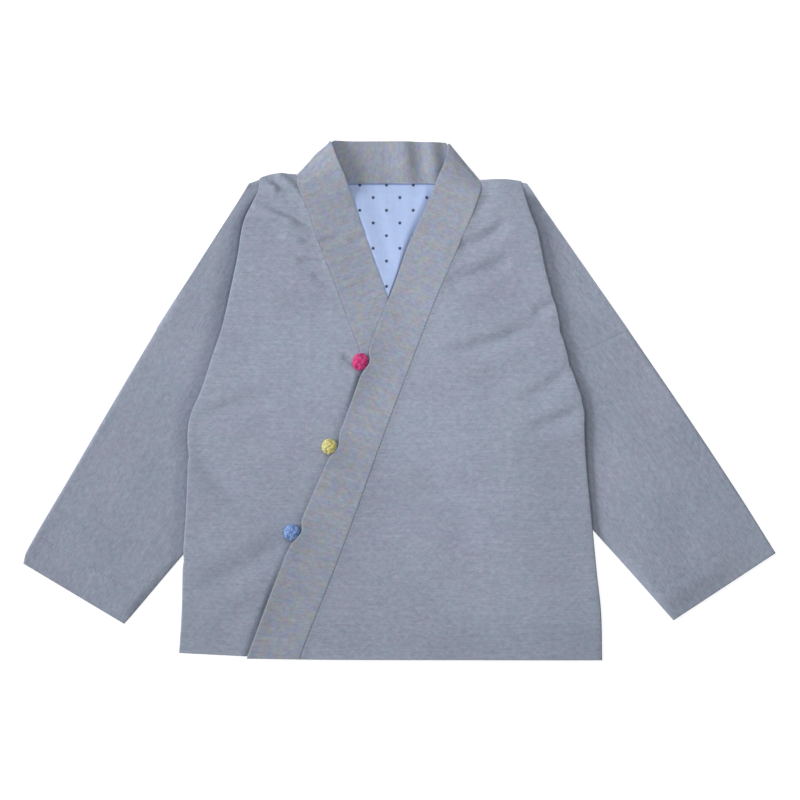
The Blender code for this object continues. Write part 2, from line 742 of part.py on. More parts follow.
def button_floor(button):
    """Height of the under front's outer side beneath a button."""
    ring = [(button.x, button.y)]
    for step in range(RING_STEPS):
        angle = step / RING_STEPS * math.tau
        reach = button.width / 2
        ring.append((button.x + reach * math.cos(angle), button.y + reach * math.sin(angle)))
    return max(front_height(x, y, False) for x, y in ring) + CLOTH / 2


def knot_mesh(name, button):
    """A ball button knotted from cord: a flattened ball with strands that cross."""
    ball = bmesh.new()
    bmesh.ops.create_uvsphere(
        ball, u_segments=BALL_SEGMENTS, v_segments=BALL_RINGS, radius=1.0)
    for vert in ball.verts:
        around = math.atan2(vert.co.y, vert.co.x)
        tilt = math.acos(max(-1.0, min(1.0, vert.co.z)))
        wave = math.sin(tilt) * math.cos(STRANDS_AROUND * around + STRAND_TWIST * tilt)
        vert.co *= 1.0 + STRAND_DEPTH * (wave - 1.0)
        vert.co.x *= button.width / 2 * MM
        vert.co.y *= button.length / 2 * MM
        vert.co.z *= BUTTON_HEIGHT / 2 * MM
    mesh = bpy.data.meshes.new(name)
    ball.to_mesh(mesh)
    ball.free()
    return mesh


def loop_curve(name, button, material, collection, parent):
    """The cord loop round a button's foot, with both ends at the band's edge."""
    low = button_floor(button) + GAP + LOOP_CORD / 2
    points = []
    for step in range(LOOP_STEPS + 1):
        angle = mix(LOOP_ENDS[0], LOOP_ENDS[1], step / LOOP_STEPS) - BUTTON_TURN
        x = button.width / 2 * LOOP_SHARE * math.cos(angle)
        y = button.length / 2 * LOOP_SHARE * math.sin(angle)
        points.append((
            x * math.cos(BUTTON_TURN) - y * math.sin(BUTTON_TURN),
            x * math.sin(BUTTON_TURN) + y * math.cos(BUTTON_TURN),
            low + (LOOP_END_RISE if step in (0, LOOP_STEPS) else 0.0),
        ))
    curve = bpy.data.curves.new(name, "CURVE")
    curve.dimensions = "3D"
    curve.bevel_depth = LOOP_CORD / 2 * MM
    curve.bevel_resolution = 1
    curve.use_fill_caps = True
    spline = curve.splines.new("POLY")
    spline.points.add(len(points) - 1)
    for point, (x, y, z) in zip(spline.points, points):
        point.co = (x * MM, y * MM, z * MM, 1.0)
    curve.materials.append(material)
    loop = bpy.data.objects.new(name, curve)
    loop.location = (button.x * MM, button.y * MM, 0.0)
    loop.parent = parent
    collection.objects.link(loop)


def make_material(name, colour, roughness):
    """A plain cloth or cord finish."""
    material = bpy.data.materials.new(name)
    material.use_nodes = True
    shader = material.node_tree.nodes["Principled BSDF"]
    shader.inputs["Base Color"].default_value = (*colour, 1.0)
    shader.inputs["Roughness"].default_value = roughness
    shader.inputs["Metallic"].default_value = 0.0
    return material


def make_jacket():
    """Make every piece of the garment in its own collection."""
    collection = bpy.data.collections.new("jacket")
    bpy.context.scene.collection.children.link(collection)
    root = bpy.data.objects.new("jacket_root", None)
    collection.objects.link(root)
    cloth = make_material("grey cotton", CLOTH_COLOUR, 0.85)
    dotted = make_material("dotted lining", LINING_COLOUR, 0.8)

    sheets = [
        ("back", back_sheet("back"), CLOTH, cloth),
        ("front_under", front_sheet("front_under", RIGHT, UNDER_BAND, False), CLOTH, cloth),
        ("front_over", front_sheet("front_over", LEFT, OVER_BAND, True), CLOTH, cloth),
        ("sleeve_right", sleeve_sheet("sleeve_right", RIGHT), CLOTH, cloth),
        ("sleeve_left", sleeve_sheet("sleeve_left", LEFT), CLOTH, cloth),
        ("collar_band", collar_sheet("collar_band"), BAND, cloth),
        ("back_lining", lining_sheet("back_lining"), LINING, dotted),
    ]
    for name, mesh, wall, material in sheets:
        thicken(new_object(name, mesh, collection, material, root), wall)

    for button in BUTTONS:
        cord = make_material(f"{button.name} button cord", button.colour, 0.6)
        name = f"button_{button.name}"
        knot = new_object(name, knot_mesh(name, button), collection, cord, root)
        height = button_floor(button) + GAP + BUTTON_HEIGHT / 2
        knot.location = (button.x * MM, button.y * MM, height * MM)
        knot.rotation_euler = (0.0, 0.0, BUTTON_TURN)
        loop_curve(f"loop_{button.name}", button, cord, collection, root)


for old in list(bpy.data.objects):
    bpy.data.objects.remove(old, do_unlink=True)
make_jacket()
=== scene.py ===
"""The jacket's look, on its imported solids.

Each cloth solid gets a finer shell of the same form, with its creases, weave and sewing. The
neck shows a dotted lining. The balls are knotted from cord, and a loop of cord holds each.
Lengths are in millimetres until a mesh is made, and in metres in lights and camera. Right and
left are the wearer's, so the wearer's right is at -X.
"""

import math
from collections import namedtuple

import bpy
import numpy as np
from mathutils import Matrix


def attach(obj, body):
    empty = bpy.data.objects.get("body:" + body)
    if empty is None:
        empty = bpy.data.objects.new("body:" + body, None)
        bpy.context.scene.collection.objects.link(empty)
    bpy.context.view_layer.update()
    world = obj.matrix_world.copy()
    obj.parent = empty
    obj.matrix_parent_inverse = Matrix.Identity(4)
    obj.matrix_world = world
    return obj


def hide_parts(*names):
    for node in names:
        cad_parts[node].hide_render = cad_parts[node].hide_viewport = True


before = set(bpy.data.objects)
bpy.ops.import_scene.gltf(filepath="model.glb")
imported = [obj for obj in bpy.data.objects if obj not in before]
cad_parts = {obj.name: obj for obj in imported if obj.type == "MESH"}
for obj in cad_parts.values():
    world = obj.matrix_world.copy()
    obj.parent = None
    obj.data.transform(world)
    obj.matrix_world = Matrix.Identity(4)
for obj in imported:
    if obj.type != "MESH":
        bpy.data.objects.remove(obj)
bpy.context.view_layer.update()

MM = 0.001

# Sizes shared with the solids
GAP = 0.3
CLOTH = 1.2
BAND = 1.8
LINING = 1.0
BODY_LOFT = 1.9  # the fronts stand this much higher inside the body
SLEEVE_LOFT = 1.1
LAP = 2.8  # the over front is raised this much by the under front beneath it
LAYER = CLOTH + GAP
ARM_BACK = CLOTH / 2
ARM_FRONT = ARM_BACK + LAYER
PLEAT_FRONT = ARM_FRONT + LAYER
PLEAT_BACK = PLEAT_FRONT + LAYER
BODY_BACK = PLEAT_BACK + LAYER
BODY_FRONT = BODY_BACK + LAYER
SLEEVE_TURN = (ARM_FRONT - ARM_BACK) / 2
LEVEL_MARGIN = 13.0  # the body stays level this far beyond the sleeves and pleats beneath it
SLOPE = 36.0  # and comes down over this distance
EDGE_EASE = 30.0  # the loft comes down to the hem over this distance
LAP_MARGIN = 12.0  # the over front stays raised this far beyond the under band
LAP_SLOPE = 100.0  # and comes down over this distance
NECK_SEAM_Y = 174.0

# The shells of the body and of the cloth that is folded in behind its sides
RIM = 0.35  # rounding of a cloth edge
PUFF = 0.8  # the fronts' cloth stands this much above the solid, so that troughs have room
WIDE_SLOPE = 100.0  # the fronts come down from the sleeves beneath them over this distance
CREASE_FADE = 12.0  # creases fade towards the body's edges over this distance
EDGE_SHARE = 0.6  # share of a crease's depth that is left at the edges
SIDE_SHARE = 0.6  # share of the body's loft that is left at its side edges
SIDE_EASE = 60.0  # and the distance over which it grows to the whole
TOP_EASE = 16.0  # the loft grows from nothing at the shoulders over this distance
ROLL_WIDTH = 4.0  # the fronts roll down towards their side edges over this width
ROLL_RIGHT = 0.25  # by this much at the wearer's right
ROLL_LEFT = 0.3  # and by this much at the left
TURN_ROOM = (BODY_BACK - PLEAT_BACK) / 2 + CLOTH / 2  # from a tuck to the centre of its turn
EDGE_REACH = 0.4  # a front's turned edge reaches out this far
EDGE_OUT = 0.8  # the wearer's left edge lies this much further out above the underarm
EDGE_ROOM = EDGE_REACH + CLOTH / 2  # from a side edge to the centre of its turn
EDGE_CELL = 0.5  # the last cell before a front's side edge is this narrow
WALL_LENGTH = 12.0  # below the underarm the turned edge comes up from the pleat over this length
FAN_START = 0.005  # the folded layers begin this share of the way to the underarm
FOLD_LEVEL_SHARE = 0.17  # and part over this share of it
PLEAT_TOGETHER = 0.1  # until they part, the pleat lies this far below the body's layer
ARM_TOGETHER = 0.2  # and the arm's layer this far
SEAM_GAP = 0.13  # between a front and the collar band's seam
SEAM_SWELL = 0.4  # the fronts rise this much towards that seam
SEAM_REACH = 3.5  # over this distance
NOTCH_LENGTH = 4.5  # along a side edge, of the notch that a crease makes in it
DIP_WIDTH = 2.6  # of the groove beside the over band's free edge

# Troughs of the cloth
TAPER = 0.35  # share of a crease's length over which its ends grow
FLANK_PLACE = 1.9  # a low ridge runs beside a trough, in widths from its middle
FLANK_WIDTH = 0.8
FLANK_SHARE = 0.15
NOISE_CELLS = 64
NOISE_SEED = 11

# The shells of the sleeves
SWELL_REACH = 19.0  # a sleeve's swell falls off towards the body's edge over this distance
SWELL_RIM = 3.0  # and towards the outer fold over this one, where that lies on the ground
SWELL_REACH_SHARE = 0.8  # neither takes more than this share of the width that shows
SWELL_RIM_SHARE = 0.3
LIFT_LENGTH = 40.0  # above the dropped shoulder seam the outer fold rises over this length
BACK_LIFT_SHARE = 0.9  # and the back's layer of the arm rises by this share of the swell
SLEEVE_REACH = 60.0  # a sleeve's loft grows away from the body's edge over this distance
INNER_LIFT = 1.3  # with this much more close to that edge
INNER_REACH = 12.0
OUTER_EASE = 60.0  # it comes down to the outer fold, to the inner one and to the cuff
INNER_ROLL = 6.5
CUFF_EASE = 20.0
SEAM_LAP = 0.6  # the lower sleeve's shell runs into the upper one by this much
SEAM_SINK = 0.08  # and is this much thinner there on each side
CUFF_HEM = 24.5  # from the cuff to its hem's stitches
CUFF_DIP = 0.15  # they lie in a groove of this depth
CUFF_DIP_SHARE = 0.6  # but no deeper than this share of the loft
CUFF_DIP_WIDTH = 1.2

# The collar band's shell, and the crease at each end of the neck where it folds over
NECK_LIFT = 1.1  # at the neck the band lies this far above the back
NECK_EASE = 14.0  # and it rises to lie on the fronts over this distance
EDGE_LIFT_POWER = 3  # its free edge lifts by a power of the share across
FOLD_LIFT = 6.0  # the under band stands up from the stand by this much at its crease
FOLD_LIFT_POWER = 1.5
FOLD_LIFT_FROM = 150.0  # it grows from this height up, over this length
FOLD_LIFT_LENGTH = 44.0
CREASE_UNDER = BAND / 2
CREASE_OVER = CLOTH + NECK_LIFT + BAND / 2
CREASE_ROOM = (CREASE_OVER - CREASE_UNDER) / 2 + BAND / 2  # from a crease to its turn's centre
CREASE_SHARE = 0.985  # share of a crease's length, from the seam, that its rungs take
RUNG_ROOM = 0.2  # the band's rungs stay this far in from those of the crease
RUNG_ROOM_SHARE = 0.15  # share of the band's width over which they move in
STAND_MARGIN = 4.0  # the stand's rungs stay this far from the creases
STAND_LOW_SHARE = 0.5  # share of the stand's waves at its seam, growing to the whole halfway up
STAND_EASE_RIGHT = 20.0  # the waves grow over this distance from the wearer's right
STAND_EASE_LEFT = 12.0
BULGE_LENGTH = 7.0  # the band's free edge bends round a button over this length
BUTTON_ROOM = 1.1  # and stays this far from it

# The lining's shell
LINING_UNDERLAP = 10.0  # it runs this far under the bands
LINING_LOW = 72.0  # and down to this height
LINING_LIFT = 0.9  # it is lifted by this much below the neck seam
LINING_PUFF = 1.9  # and by this much more between the bands
PUFF_START = 2.4  # the puff begins this far under the under band
PUFF_REACH = 4.0  # and grows over this distance
PUFF_FALL = 5.0  # it falls over this distance to the over band
PUFF_FALL_LOW = 1.0  # or over this one low in the neck
PUFF_LOW_Y = 90.0  # the one goes over into the other from this height up, over this length
PUFF_LOW_LENGTH = 60.0
FOLD_RAISE = 0.3  # its folds are raised by this much
FOLD_FLOOR = -0.1  # and go no lower than this

# Knotted balls and their loops
BUTTON_TURN = math.radians(-22.0)  # they are turned along the band's edge
BALL_HEIGHT = 6.8
KNOT_CORD = 2.15  # radius of the cord in a ball
KNOT_WINDINGS = 3  # the cord winds round the ball this often
KNOT_BIGHTS = 4  # and bends up and down this often
KNOT_TILT = math.radians(66.0)
KNOT_WEAVE = 0.09  # its strands pass over and under each other by this share
KNOT_TOP = 0.8 * KNOT_CORD  # the middle of a strand stays this far below the ball's top
KNOT_POINTS = 360
LOOP_RADIUS = 1.1
LOOP_SHARE = 0.86  # size of a loop as a share of its ball's
LOOP_SINK = 0.2  # it is pressed into the cloth by this much
LOOP_START = math.radians(30.0)
LOOP_END = math.radians(384.0)
LOOP_POINTS = 60
CORD_SIDES = 14
CORD_LAY = 1.3  # pitch of the cord's twist
CORE_RINGS = 11
CORE_SIDES = 24

# Sewing thread
STITCH_PITCH = 2.8
STITCH_LENGTH = 1.7
STITCH_RADIUS = 0.24
STITCH_SIDES = 6
BAND_STITCH_TOP = 168.0  # the over band's stitches begin at this height
BAND_STITCH_IN = 0.35  # and run this far inside the seam
BAND_STITCH_LEVEL_IN = 0.8  # on the level of the front this far inside it
BAND_STITCH_SINK = 0.1
CUFF_STITCH_RISE = 0.05
CUFF_STITCH_MARGIN = 0.02  # share of a cuff's width that stays free at each end

# Steps of the meshes, in millimetres or in numbers of cells
CELL = 2.0
FRONT_CELL = 1.8
BACK_CELL = 2.4
TURN_STEPS = 8
PLEAT_STEPS = 6
BAND_STEPS = 20
LINING_STEPS = 40

# Cloth patterns
YARN = 0.72  # pitch of the yarns
LINING_YARN = 0.5
FIGURE_ACROSS = 5.4  # the small woven figure repeats at this pitch across
FIGURE_UP = 6.4  # and at this one up
COTTON_DARK = (0.16, 0.185, 0.25)
COTTON_LIGHT = (0.40, 0.44, 0.53)
DOT_PITCH = (21.4, 20.3)  # of the lining's dots, across and up
DOT_START = (-10.4, 172.4)  # one of them
DOT_RADIUS = 1.15

# Camera, in metres but for its sensor, and the floor around the garment
CAMERA_HEIGHT = 3.0
VIEW_WIDTH = 0.64  # the picture is this wide
VIEW_LEVEL = 0.006  # at this height
VIEW_SHIFT = 0.4 * MM  # half of one of the photo's pixels
SENSOR = 36.0
FLOOR_HALF = 2500.0
FLOOR_DROP = 0.2  # it lies this far below the garment
WORLD_STRENGTH = 0.22

EdgeRow = namedtuple("EdgeRow", "y x")
TopRow = namedtuple("TopRow", "x y")
SleeveRow = namedtuple("SleeveRow", "along outer_x outer_y inner_x inner_y")
BandRow = namedtuple("BandRow", "seam_y seam_x free_y free_x")
StandRow = namedtuple("StandRow", "seam_x free_x free_y")
Button = namedtuple("Button", "name x y width length dark light")
Side = namedtuple(
    "Side", "sign shoulder corner underarm tuck drop edge sleeve creases swell notches")
Levels = namedtuple("Levels", "body pleat arm")
Crease = namedtuple("Crease", "x0 y0 x1 y1 bow width depth lean start end")
AlongRow = namedtuple("AlongRow", "y value")
Wave = namedtuple("Wave", "height size shift across up")
StitchRing = namedtuple("StitchRing", "place radius sink")
TintField = namedtuple("TintField", "size contrast first second")
Light = namedtuple("Light", "name place power size")

FRONT_LEVELS = Levels(BODY_FRONT, PLEAT_FRONT, ARM_FRONT)
BACK_LEVELS = Levels(BODY_BACK, PLEAT_BACK, ARM_BACK)


def table(kind, rows):
    """Give each row of plain values its names."""
    return [kind(*row) for row in rows]


# The body's side edge from the shoulder point to the hem
RIGHT_EDGE = table(EdgeRow, [
    (177.6, -111.2), (167.2, -112.8), (159.2, -116.8), (147.2, -123.2), (136.4, -126.4),
    (116.4, -129.4), (91.6, -134.6), (58.8, -142.0), (34.8, -150.0), (10.0, -158.0),
    (-16.4, -168.4), (-46.8, -169.2), (-87.6, -170.8), (-124.4, -173.2), (-169.0, -174.4),
    (-202.2, -176.6),
])
LEFT_EDGE = table(EdgeRow, [
    (175.4, 96.7), (162.5, 100.2), (147.2, 105.4), (136.6, 109.6), (124.4, 112.2),
    (99.6, 117.4), (79.6, 123.6), (58.8, 128.2), (38.8, 133.2), (12.4, 142.0), (-2.0, 147.6),
    (-26.8, 148.2), (-54.8, 150.0), (-87.6, 153.2), (-136.4, 157.8), (-169.2, 161.4),
    (-208.0, 162.4),
])

# Sleeves from the dropped shoulder seam to the cuff
RIGHT_SLEEVE = table(SleeveRow, [
    (0.00, -194.6, 56.9, -72.0, -10.2), (0.31, -228.2, 0.4, -116.7, -60.8),
    (0.65, -265.3, -63.2, -167.9, -117.4), (0.96, -299.0, -121.2, -214.2, -171.9),
    (1.00, -301.4, -130.6, -220.6, -178.9),
])
LEFT_SLEEVE = table(SleeveRow, [
    (0.00, 183.7, 56.1, 62.0, -3.6), (0.41, 232.6, -15.6, 125.4, -71.4),
    (0.75, 272.9, -76.7, 179.7, -131.4), (1.00, 301.4, -122.2, 219.4, -176.2),
])

# Shoulders of the fronts, and shoulders and neck of the back
FRONT_TOP = table(TopRow, [
    (-111.2, 177.6), (-104.8, 180.2), (-95.2, 181.6), (-82.0, 180.8), (64.4, 176.4),
    (76.0, 177.0), (87.0, 176.8), (96.7, 175.4),
])
BACK_TOP = table(TopRow, [
    (-111.2, 177.6), (-104.8, 180.2), (-96.0, 181.2), (-88.0, 180.0), (-80.0, 176.8),
    (-66.0, 174.6), (-50.0, NECK_SEAM_Y), (50.0, NECK_SEAM_Y), (63.0, 174.4), (72.0, 176.0),
    (80.0, 177.0), (87.0, 176.8), (96.7, 175.4),
])
HEM = table(TopRow, [
    (-176.6, -202.2), (-122.0, -205.0), (-80.0, -207.2), (61.4, -207.8), (162.4, -208.0),
])

# The collar band's rungs, from its seam to its free edge, from the neck crease to the hem
UNDER_BAND = table(BandRow, [
    (180.8, -82.0, 208.0, -54.8), (172.0, -81.9, 195.0, -50.2), (165.9, -79.3, 181.0, -44.2),
    (153.3, -73.6, 165.5, -38.8), (138.7, -68.6, 151.0, -34.3), (124.1, -63.5, 137.0, -29.2),
    (96.9, -53.0, 109.0, -19.2), (54.8, -37.4, 67.6, -3.9), (38.8, -31.2, 51.0, 2.0),
    (0.4, -17.0, 12.0, 14.4), (-40.4, -1.7, -28.5, 29.7), (-87.4, 14.7, -76.0, 50.6),
    (-140.4, 35.1, -128.5, 73.4), (-191.4, 55.5, -186.0, 95.3), (-207.8, 61.4, -207.9, 103.0),
])
OVER_BAND = table(BandRow, [
    (176.4, 64.4, 206.4, 39.6), (169.0, 64.9, 192.0, 36.4), (163.2, 63.4, 180.5, 31.4),
    (149.2, 58.4, 163.5, 25.1), (129.5, 50.0, 145.5, 16.8), (109.2, 41.2, 123.2, 6.6),
    (81.6, 29.2, 95.9, -3.1), (64.4, 22.4, 77.0, -10.3), (32.4, 10.2, 46.0, -22.7),
    (0.4, -2.2, 12.0, -33.6), (-40.4, -17.5, -28.5, -48.9), (-87.4, -34.3, -76.0, -69.8),
    (-140.4, -54.3, -128.5, -92.6), (-191.4, -74.7, -186.0, -114.5),
    (-207.2, -80.4, -206.4, -122.1),
])
# The same band behind the neck, where it stands up past the back's neckline
STAND = table(StandRow, [
    (-82.0, -54.8, 208.0), (-66.0, -46.0, 207.8), (-50.0, -36.0, 207.6), (-30.0, -22.5, 207.6),
    (-8.0, -7.6, 207.6), (14.0, 8.0, 207.4), (34.0, 22.5, 207.0), (50.0, 31.0, 206.7),
    (64.4, 39.6, 206.4),
])

# Creases of the cloth. Each is a trough along an arc, bowed sideways by the bow at its middle.
# A negative depth is a ridge, the lean makes one flank steeper, and start and end say what
# share of the depth is left at the ends.
UNDER_CREASES = table(Crease, [
    (-110.0, 176.4, -95.4, 166.4, 0.6, 2.8, -2.9, 0.4, 1.0, 0.1),
    (-95.0, 179.4, -81.0, 167.6, 0.8, 2.8, -3.1, 0.4, 1.0, 0.5),
    (-113.6, 154.0, -74.0, 135.6, 1.6, 4.0, -3.4, 0.5, 0.6, 0.2),
    (-98.0, 134.0, -74.0, 125.4, 0.8, 3.4, -1.9, 0.4, 0.0, 0.2),
    (-84.0, 111.8, -62.8, 110.0, 0.6, 2.8, 2.0, 0.2, 0.0, 0.6),
    (-71.6, 101.2, -57.6, 93.6, 0.6, 2.8, 1.5, 0.2, 0.0, 0.5),
    (-96.0, 80.0, -48.0, 66.0, 3.0, 7.0, 0.9, 0.2, 0.0, 0.0),
    (-106.0, 84.0, -42.0, 54.0, 5.0, 12.0, 0.8, 0.35, 0.0, 0.0),
    (-164.4, -17.0, -88.0, 8.0, 3.5, 8.0, 0.9, 0.4, 0.5, 0.0),
    (-163.0, -42.8, -88.0, -101.6, -7.0, 9.0, 2.2, 0.1, 0.4, 0.6),
    (-88.0, -109.0, -166.0, -152.0, 4.0, 11.0, 1.8, -0.2, 0.6, 0.3),
    (-104.0, -150.0, -146.0, -178.0, 2.0, 9.0, 0.7, -0.1, 0.5, 0.0),
    (-168.4, -164.0, -112.0, -170.0, -6.0, 9.0, 0.5, 0.3, 0.2, 0.0),
    (-150.0, -172.0, -132.0, -200.0, 1.0, 9.0, 0.8, 0.1, 0.0, 0.8),
    (-46.6, 36.4, -35.6, 29.6, 0.5, 2.6, 2.0, 0.3, 0.1, 1.0),
    (-140.0, 20.0, -96.0, -44.0, 8.0, 15.0, 0.8, 0.2, 0.0, 0.0),
])
OVER_CREASES = table(Crease, [
    (62.0, 153.0, 75.0, 167.0, -1.0, 4.4, 0.7, 0.2, 0.6, 0.3),
    (53.0, 124.4, 88.0, 144.0, -2.5, 5.4, 1.9, 0.2, 0.9, 0.0),
    (45.0, 96.0, 93.0, 114.6, -1.0, 5.6, 1.6, 0.2, 0.9, 0.0),
    (104.0, 70.4, 124.6, 78.4, -0.8, 4.4, 1.5, 0.2, 0.0, 0.9),
    (30.0, 38.0, 112.0, 61.6, -4.5, 6.6, 2.1, 0.2, 0.2, 0.2),
    (96.0, 1.0, 138.0, 26.4, -3.0, 6.4, 1.3, 0.25, 0.0, 0.8),
    (96.0, -22.0, 146.6, -4.6, -4.0, 6.0, 1.4, 0.25, 0.0, 0.8),
    (8.0, -56.0, 68.0, -114.0, 5.0, 13.0, 1.5, 0.2, 0.0, 0.0),
    (34.0, -64.0, 94.0, -74.0, 1.0, 7.0, 0.5, 0.3, 0.0, 0.0),
    (56.0, 12.0, 100.0, 22.0, 2.0, 12.0, 0.6, 0.2, 0.0, 0.0),
])
BACK_CREASES = table(Crease, [
    (-120.0, 60.0, -30.0, 92.0, 6.0, 11.0, 1.2, 0.2, 0.4, 0.0),
    (126.0, 44.0, 46.0, 84.0, -7.0, 12.0, 1.3, 0.1, 0.4, 0.0),
    (-60.0, -40.0, 22.0, -118.0, 8.0, 15.0, 0.6, 0.2, 0.0, 0.0),
])
RIGHT_SLEEVE_CREASES = table(Crease, [
    (-196.0, 30.0, -230.0, -60.0, 8.0, 14.0, 0.4, 0.2, 0.0, 0.0),
    (-250.0, -76.0, -214.0, -136.0, 6.0, 14.0, 0.35, 0.1, 0.0, 0.0),
    (-196.0, -44.0, -204.0, -112.0, -5.0, 12.0, 0.3, 0.1, 0.0, 0.0),
])
LEFT_SLEEVE_CREASES = table(Crease, [
    (184.0, 40.0, 208.0, -34.0, 5.0, 12.0, 0.5, 0.2, 0.0, 0.0),
    (216.8, -66.8, 234.0, -138.0, 3.0, 13.0, 0.8, 0.2, 0.0, 0.3),
])
BAND_CREASES = table(Crease, [
    (-60.6, 127.0, -44.4, 130.6, 0.3, 2.8, 1.1, 0.1, 1.0, 0.0),
    (-43.0, 125.8, -29.0, 129.4, 0.3, 2.8, 0.9, 0.1, 0.0, 1.0),
])
STAND_WAVES = table(Crease, [
    (-16.0, 172.0, -18.0, 212.0, 0.6, 8.0, -0.8, -0.1, 1.0, 1.0),
    (8.0, 170.0, 3.0, 211.0, 0.0, 9.0, -3.3, -0.25, 0.8, 1.0),
    (29.0, 170.0, 26.0, 212.0, 0.0, 6.4, -3.0, -0.15, 1.0, 0.9),
])
FOLD_RIDGE = table(Crease, [(-57.0, 212.0, -47.0, 174.0, 0.0, 8.4, -5.2, 0.0, 1.0, 0.2)])
LINING_FOLDS = table(Crease, [
    (-24.0, 176.0, -2.0, 80.0, 1.0, 5.0, 0.5, 0.2, 1.0, 0.6),
    (16.0, 176.0, 8.0, 110.0, 1.5, 3.4, 0.7, 0.2, 1.0, 0.4),
    (30.0, 176.0, 18.0, 130.0, 1.0, 4.0, 0.8, 0.2, 1.0, 0.4),
])

# Along the over band's free edge, by height: how far it lifts, and how deep the under front
# dips beside it
EDGE_LIFT = table(AlongRow, [
    (110.0, 0.2), (78.0, 0.8), (52.0, 2.0), (30.0, 3.2), (10.0, 2.4), (-14.0, 1.2),
    (-36.0, 2.4), (-62.0, 0.8), (-88.0, 1.0), (-105.0, 2.4), (-130.0, 1.6), (-165.0, 2.6),
    (-188.0, 1.6), (-205.0, 2.6),
])
EDGE_DIP = table(AlongRow, [
    (90.0, 0.0), (70.0, 0.6), (44.0, 1.8), (24.0, 2.6), (6.0, 2.2), (-14.0, 0.8), (-60.0, 0.4),
    (-104.0, 0.8), (-140.0, 1.2), (-166.0, 2.2), (-188.0, 1.2), (-206.0, 1.8),
])

# How far each sleeve swells up behind its outer fold, by height
RIGHT_SWELL = table(AlongRow, [
    (173.0, 0.0), (150.0, 3.6), (90.0, 4.6), (57.0, 2.6), (20.0, 1.2), (-20.0, 0.4),
    (-110.0, 0.0),
])
LEFT_SWELL = table(AlongRow, [(173.0, 0.0), (150.0, 0.2), (-110.0, 0.0)])

# Where creases draw the body's side edges in a little
RIGHT_NOTCHES = table(AlongRow, [(-44.0, 0.8), (-128.0, 0.7)])
LEFT_NOTCHES = table(AlongRow, [(83.6, 0.9), (54.8, 1.1), (28.4, 1.1), (-2.0, 1.0)])

# The body's side edge starts at the shoulder, and the sleeve's outer edge a little further out,
# at the corner. The drop is the outer end of the dropped shoulder seam. The tuck is its inner
# end, where the pleat behind the body turns into the sleeve.
RIGHT = Side(
    sign=-1, shoulder=(-111.2, 177.6), corner=(-120.2, 173.2), underarm=(-168.4, -16.4),
    tuck=(-70.0, -8.0), drop=(-194.4, 57.2), edge=RIGHT_EDGE, sleeve=RIGHT_SLEEVE,
    creases=RIGHT_SLEEVE_CREASES, swell=RIGHT_SWELL, notches=RIGHT_NOTCHES)
LEFT = Side(
    sign=1, shoulder=(96.7, 175.4), corner=(102.0, 173.4), underarm=(147.6, -2.0),
    tuck=(60.0, -1.4), drop=(183.5, 56.4), edge=LEFT_EDGE, sleeve=LEFT_SLEEVE,
    creases=LEFT_SLEEVE_CREASES, swell=LEFT_SWELL, notches=LEFT_NOTCHES)

# Buttons: name, place and size, and the cord's dark and light colours; the dark one, in the twist's
# grooves and in the core, is painted shade
BUTTONS = table(Button, [
    ("top", -31.2, 30.8, 12.6, 14.4, (0.40, 0.005, 0.10), (0.68, 0.022, 0.21)),
    ("middle", -56.0, -36.8, 11.8, 12.4, (0.46, 0.36, 0.07), (0.72, 0.72, 0.30)),
    ("bottom", -86.0, -105.6, 12.8, 13.0, (0.08, 0.15, 0.42), (0.24, 0.40, 0.76)),
])

# Slight waves of the cloth, from noise
BODY_WAVES = table(Wave, [(0.16, 46.0, 0, 1.0, 1.0), (0.1, 17.0, 7, 0.6, 1.4)])
SLEEVE_WAVES = table(Wave, [(0.12, 40.0, 3, 1.0, 1.0), (0.08, 17.0, 9, 1.0, 1.0)])
LINING_WAVES = table(Wave, [(0.25, 16.0, 5, 1.0, 1.0)])

# Rings of a stitch: place and thickness as shares of its length and radius, and how far it sinks
STITCH_RINGS = table(StitchRing, [
    (-0.5, 0.2, -0.35), (-0.38, 0.8, -0.08), (0.0, 1.0, 0.0), (0.38, 0.8, -0.08), (0.5, 0.2, -0.35),
])

# Slight changes of the cotton's colour from place to place
BODY_TINTS = table(TintField, [
    (70.0, 3.0, (1.012, 0.992, 1.0), (0.985, 1.006, 1.0)),
    (7.0, 3.0, (1.03, 0.99, 1.005), (0.975, 1.01, 0.995)),
])
BAND_TINTS = table(TintField, [
    (7.0, 4.0, (1.07, 1.015, 0.89), (0.97, 0.995, 1.05)),
    (5.0, 4.0, (1.05, 0.95, 1.02), (0.96, 1.035, 0.99)),
])

# A low key light from the left, weak ones from beyond the collar and from the right, and a
# small one above the neck
LIGHTS = table(Light, [
    ("key", (-14.3, 1.8, 7.34), 2880.0, 9.0),
    ("upper", (-0.6, 4.2, 2.6), 31.0, 1.4),
    ("fill", (4.4, 0.4, 2.4), 20.0, 1.8),
    ("top", (0.02, 0.07, 0.4), 0.66, 0.26),
])


def mix(a, b, share):
    """A number, array or point between a and b."""
    if isinstance(a, tuple):
        return tuple(mix(one, other, share) for one, other in zip(a, b))
    return a + (b - a) * share


def ease(share):
    """Run smoothly from 0 to 1."""
    share = np.clip(share, 0.0, 1.0)
    return share * share * (3.0 - 2.0 * share)


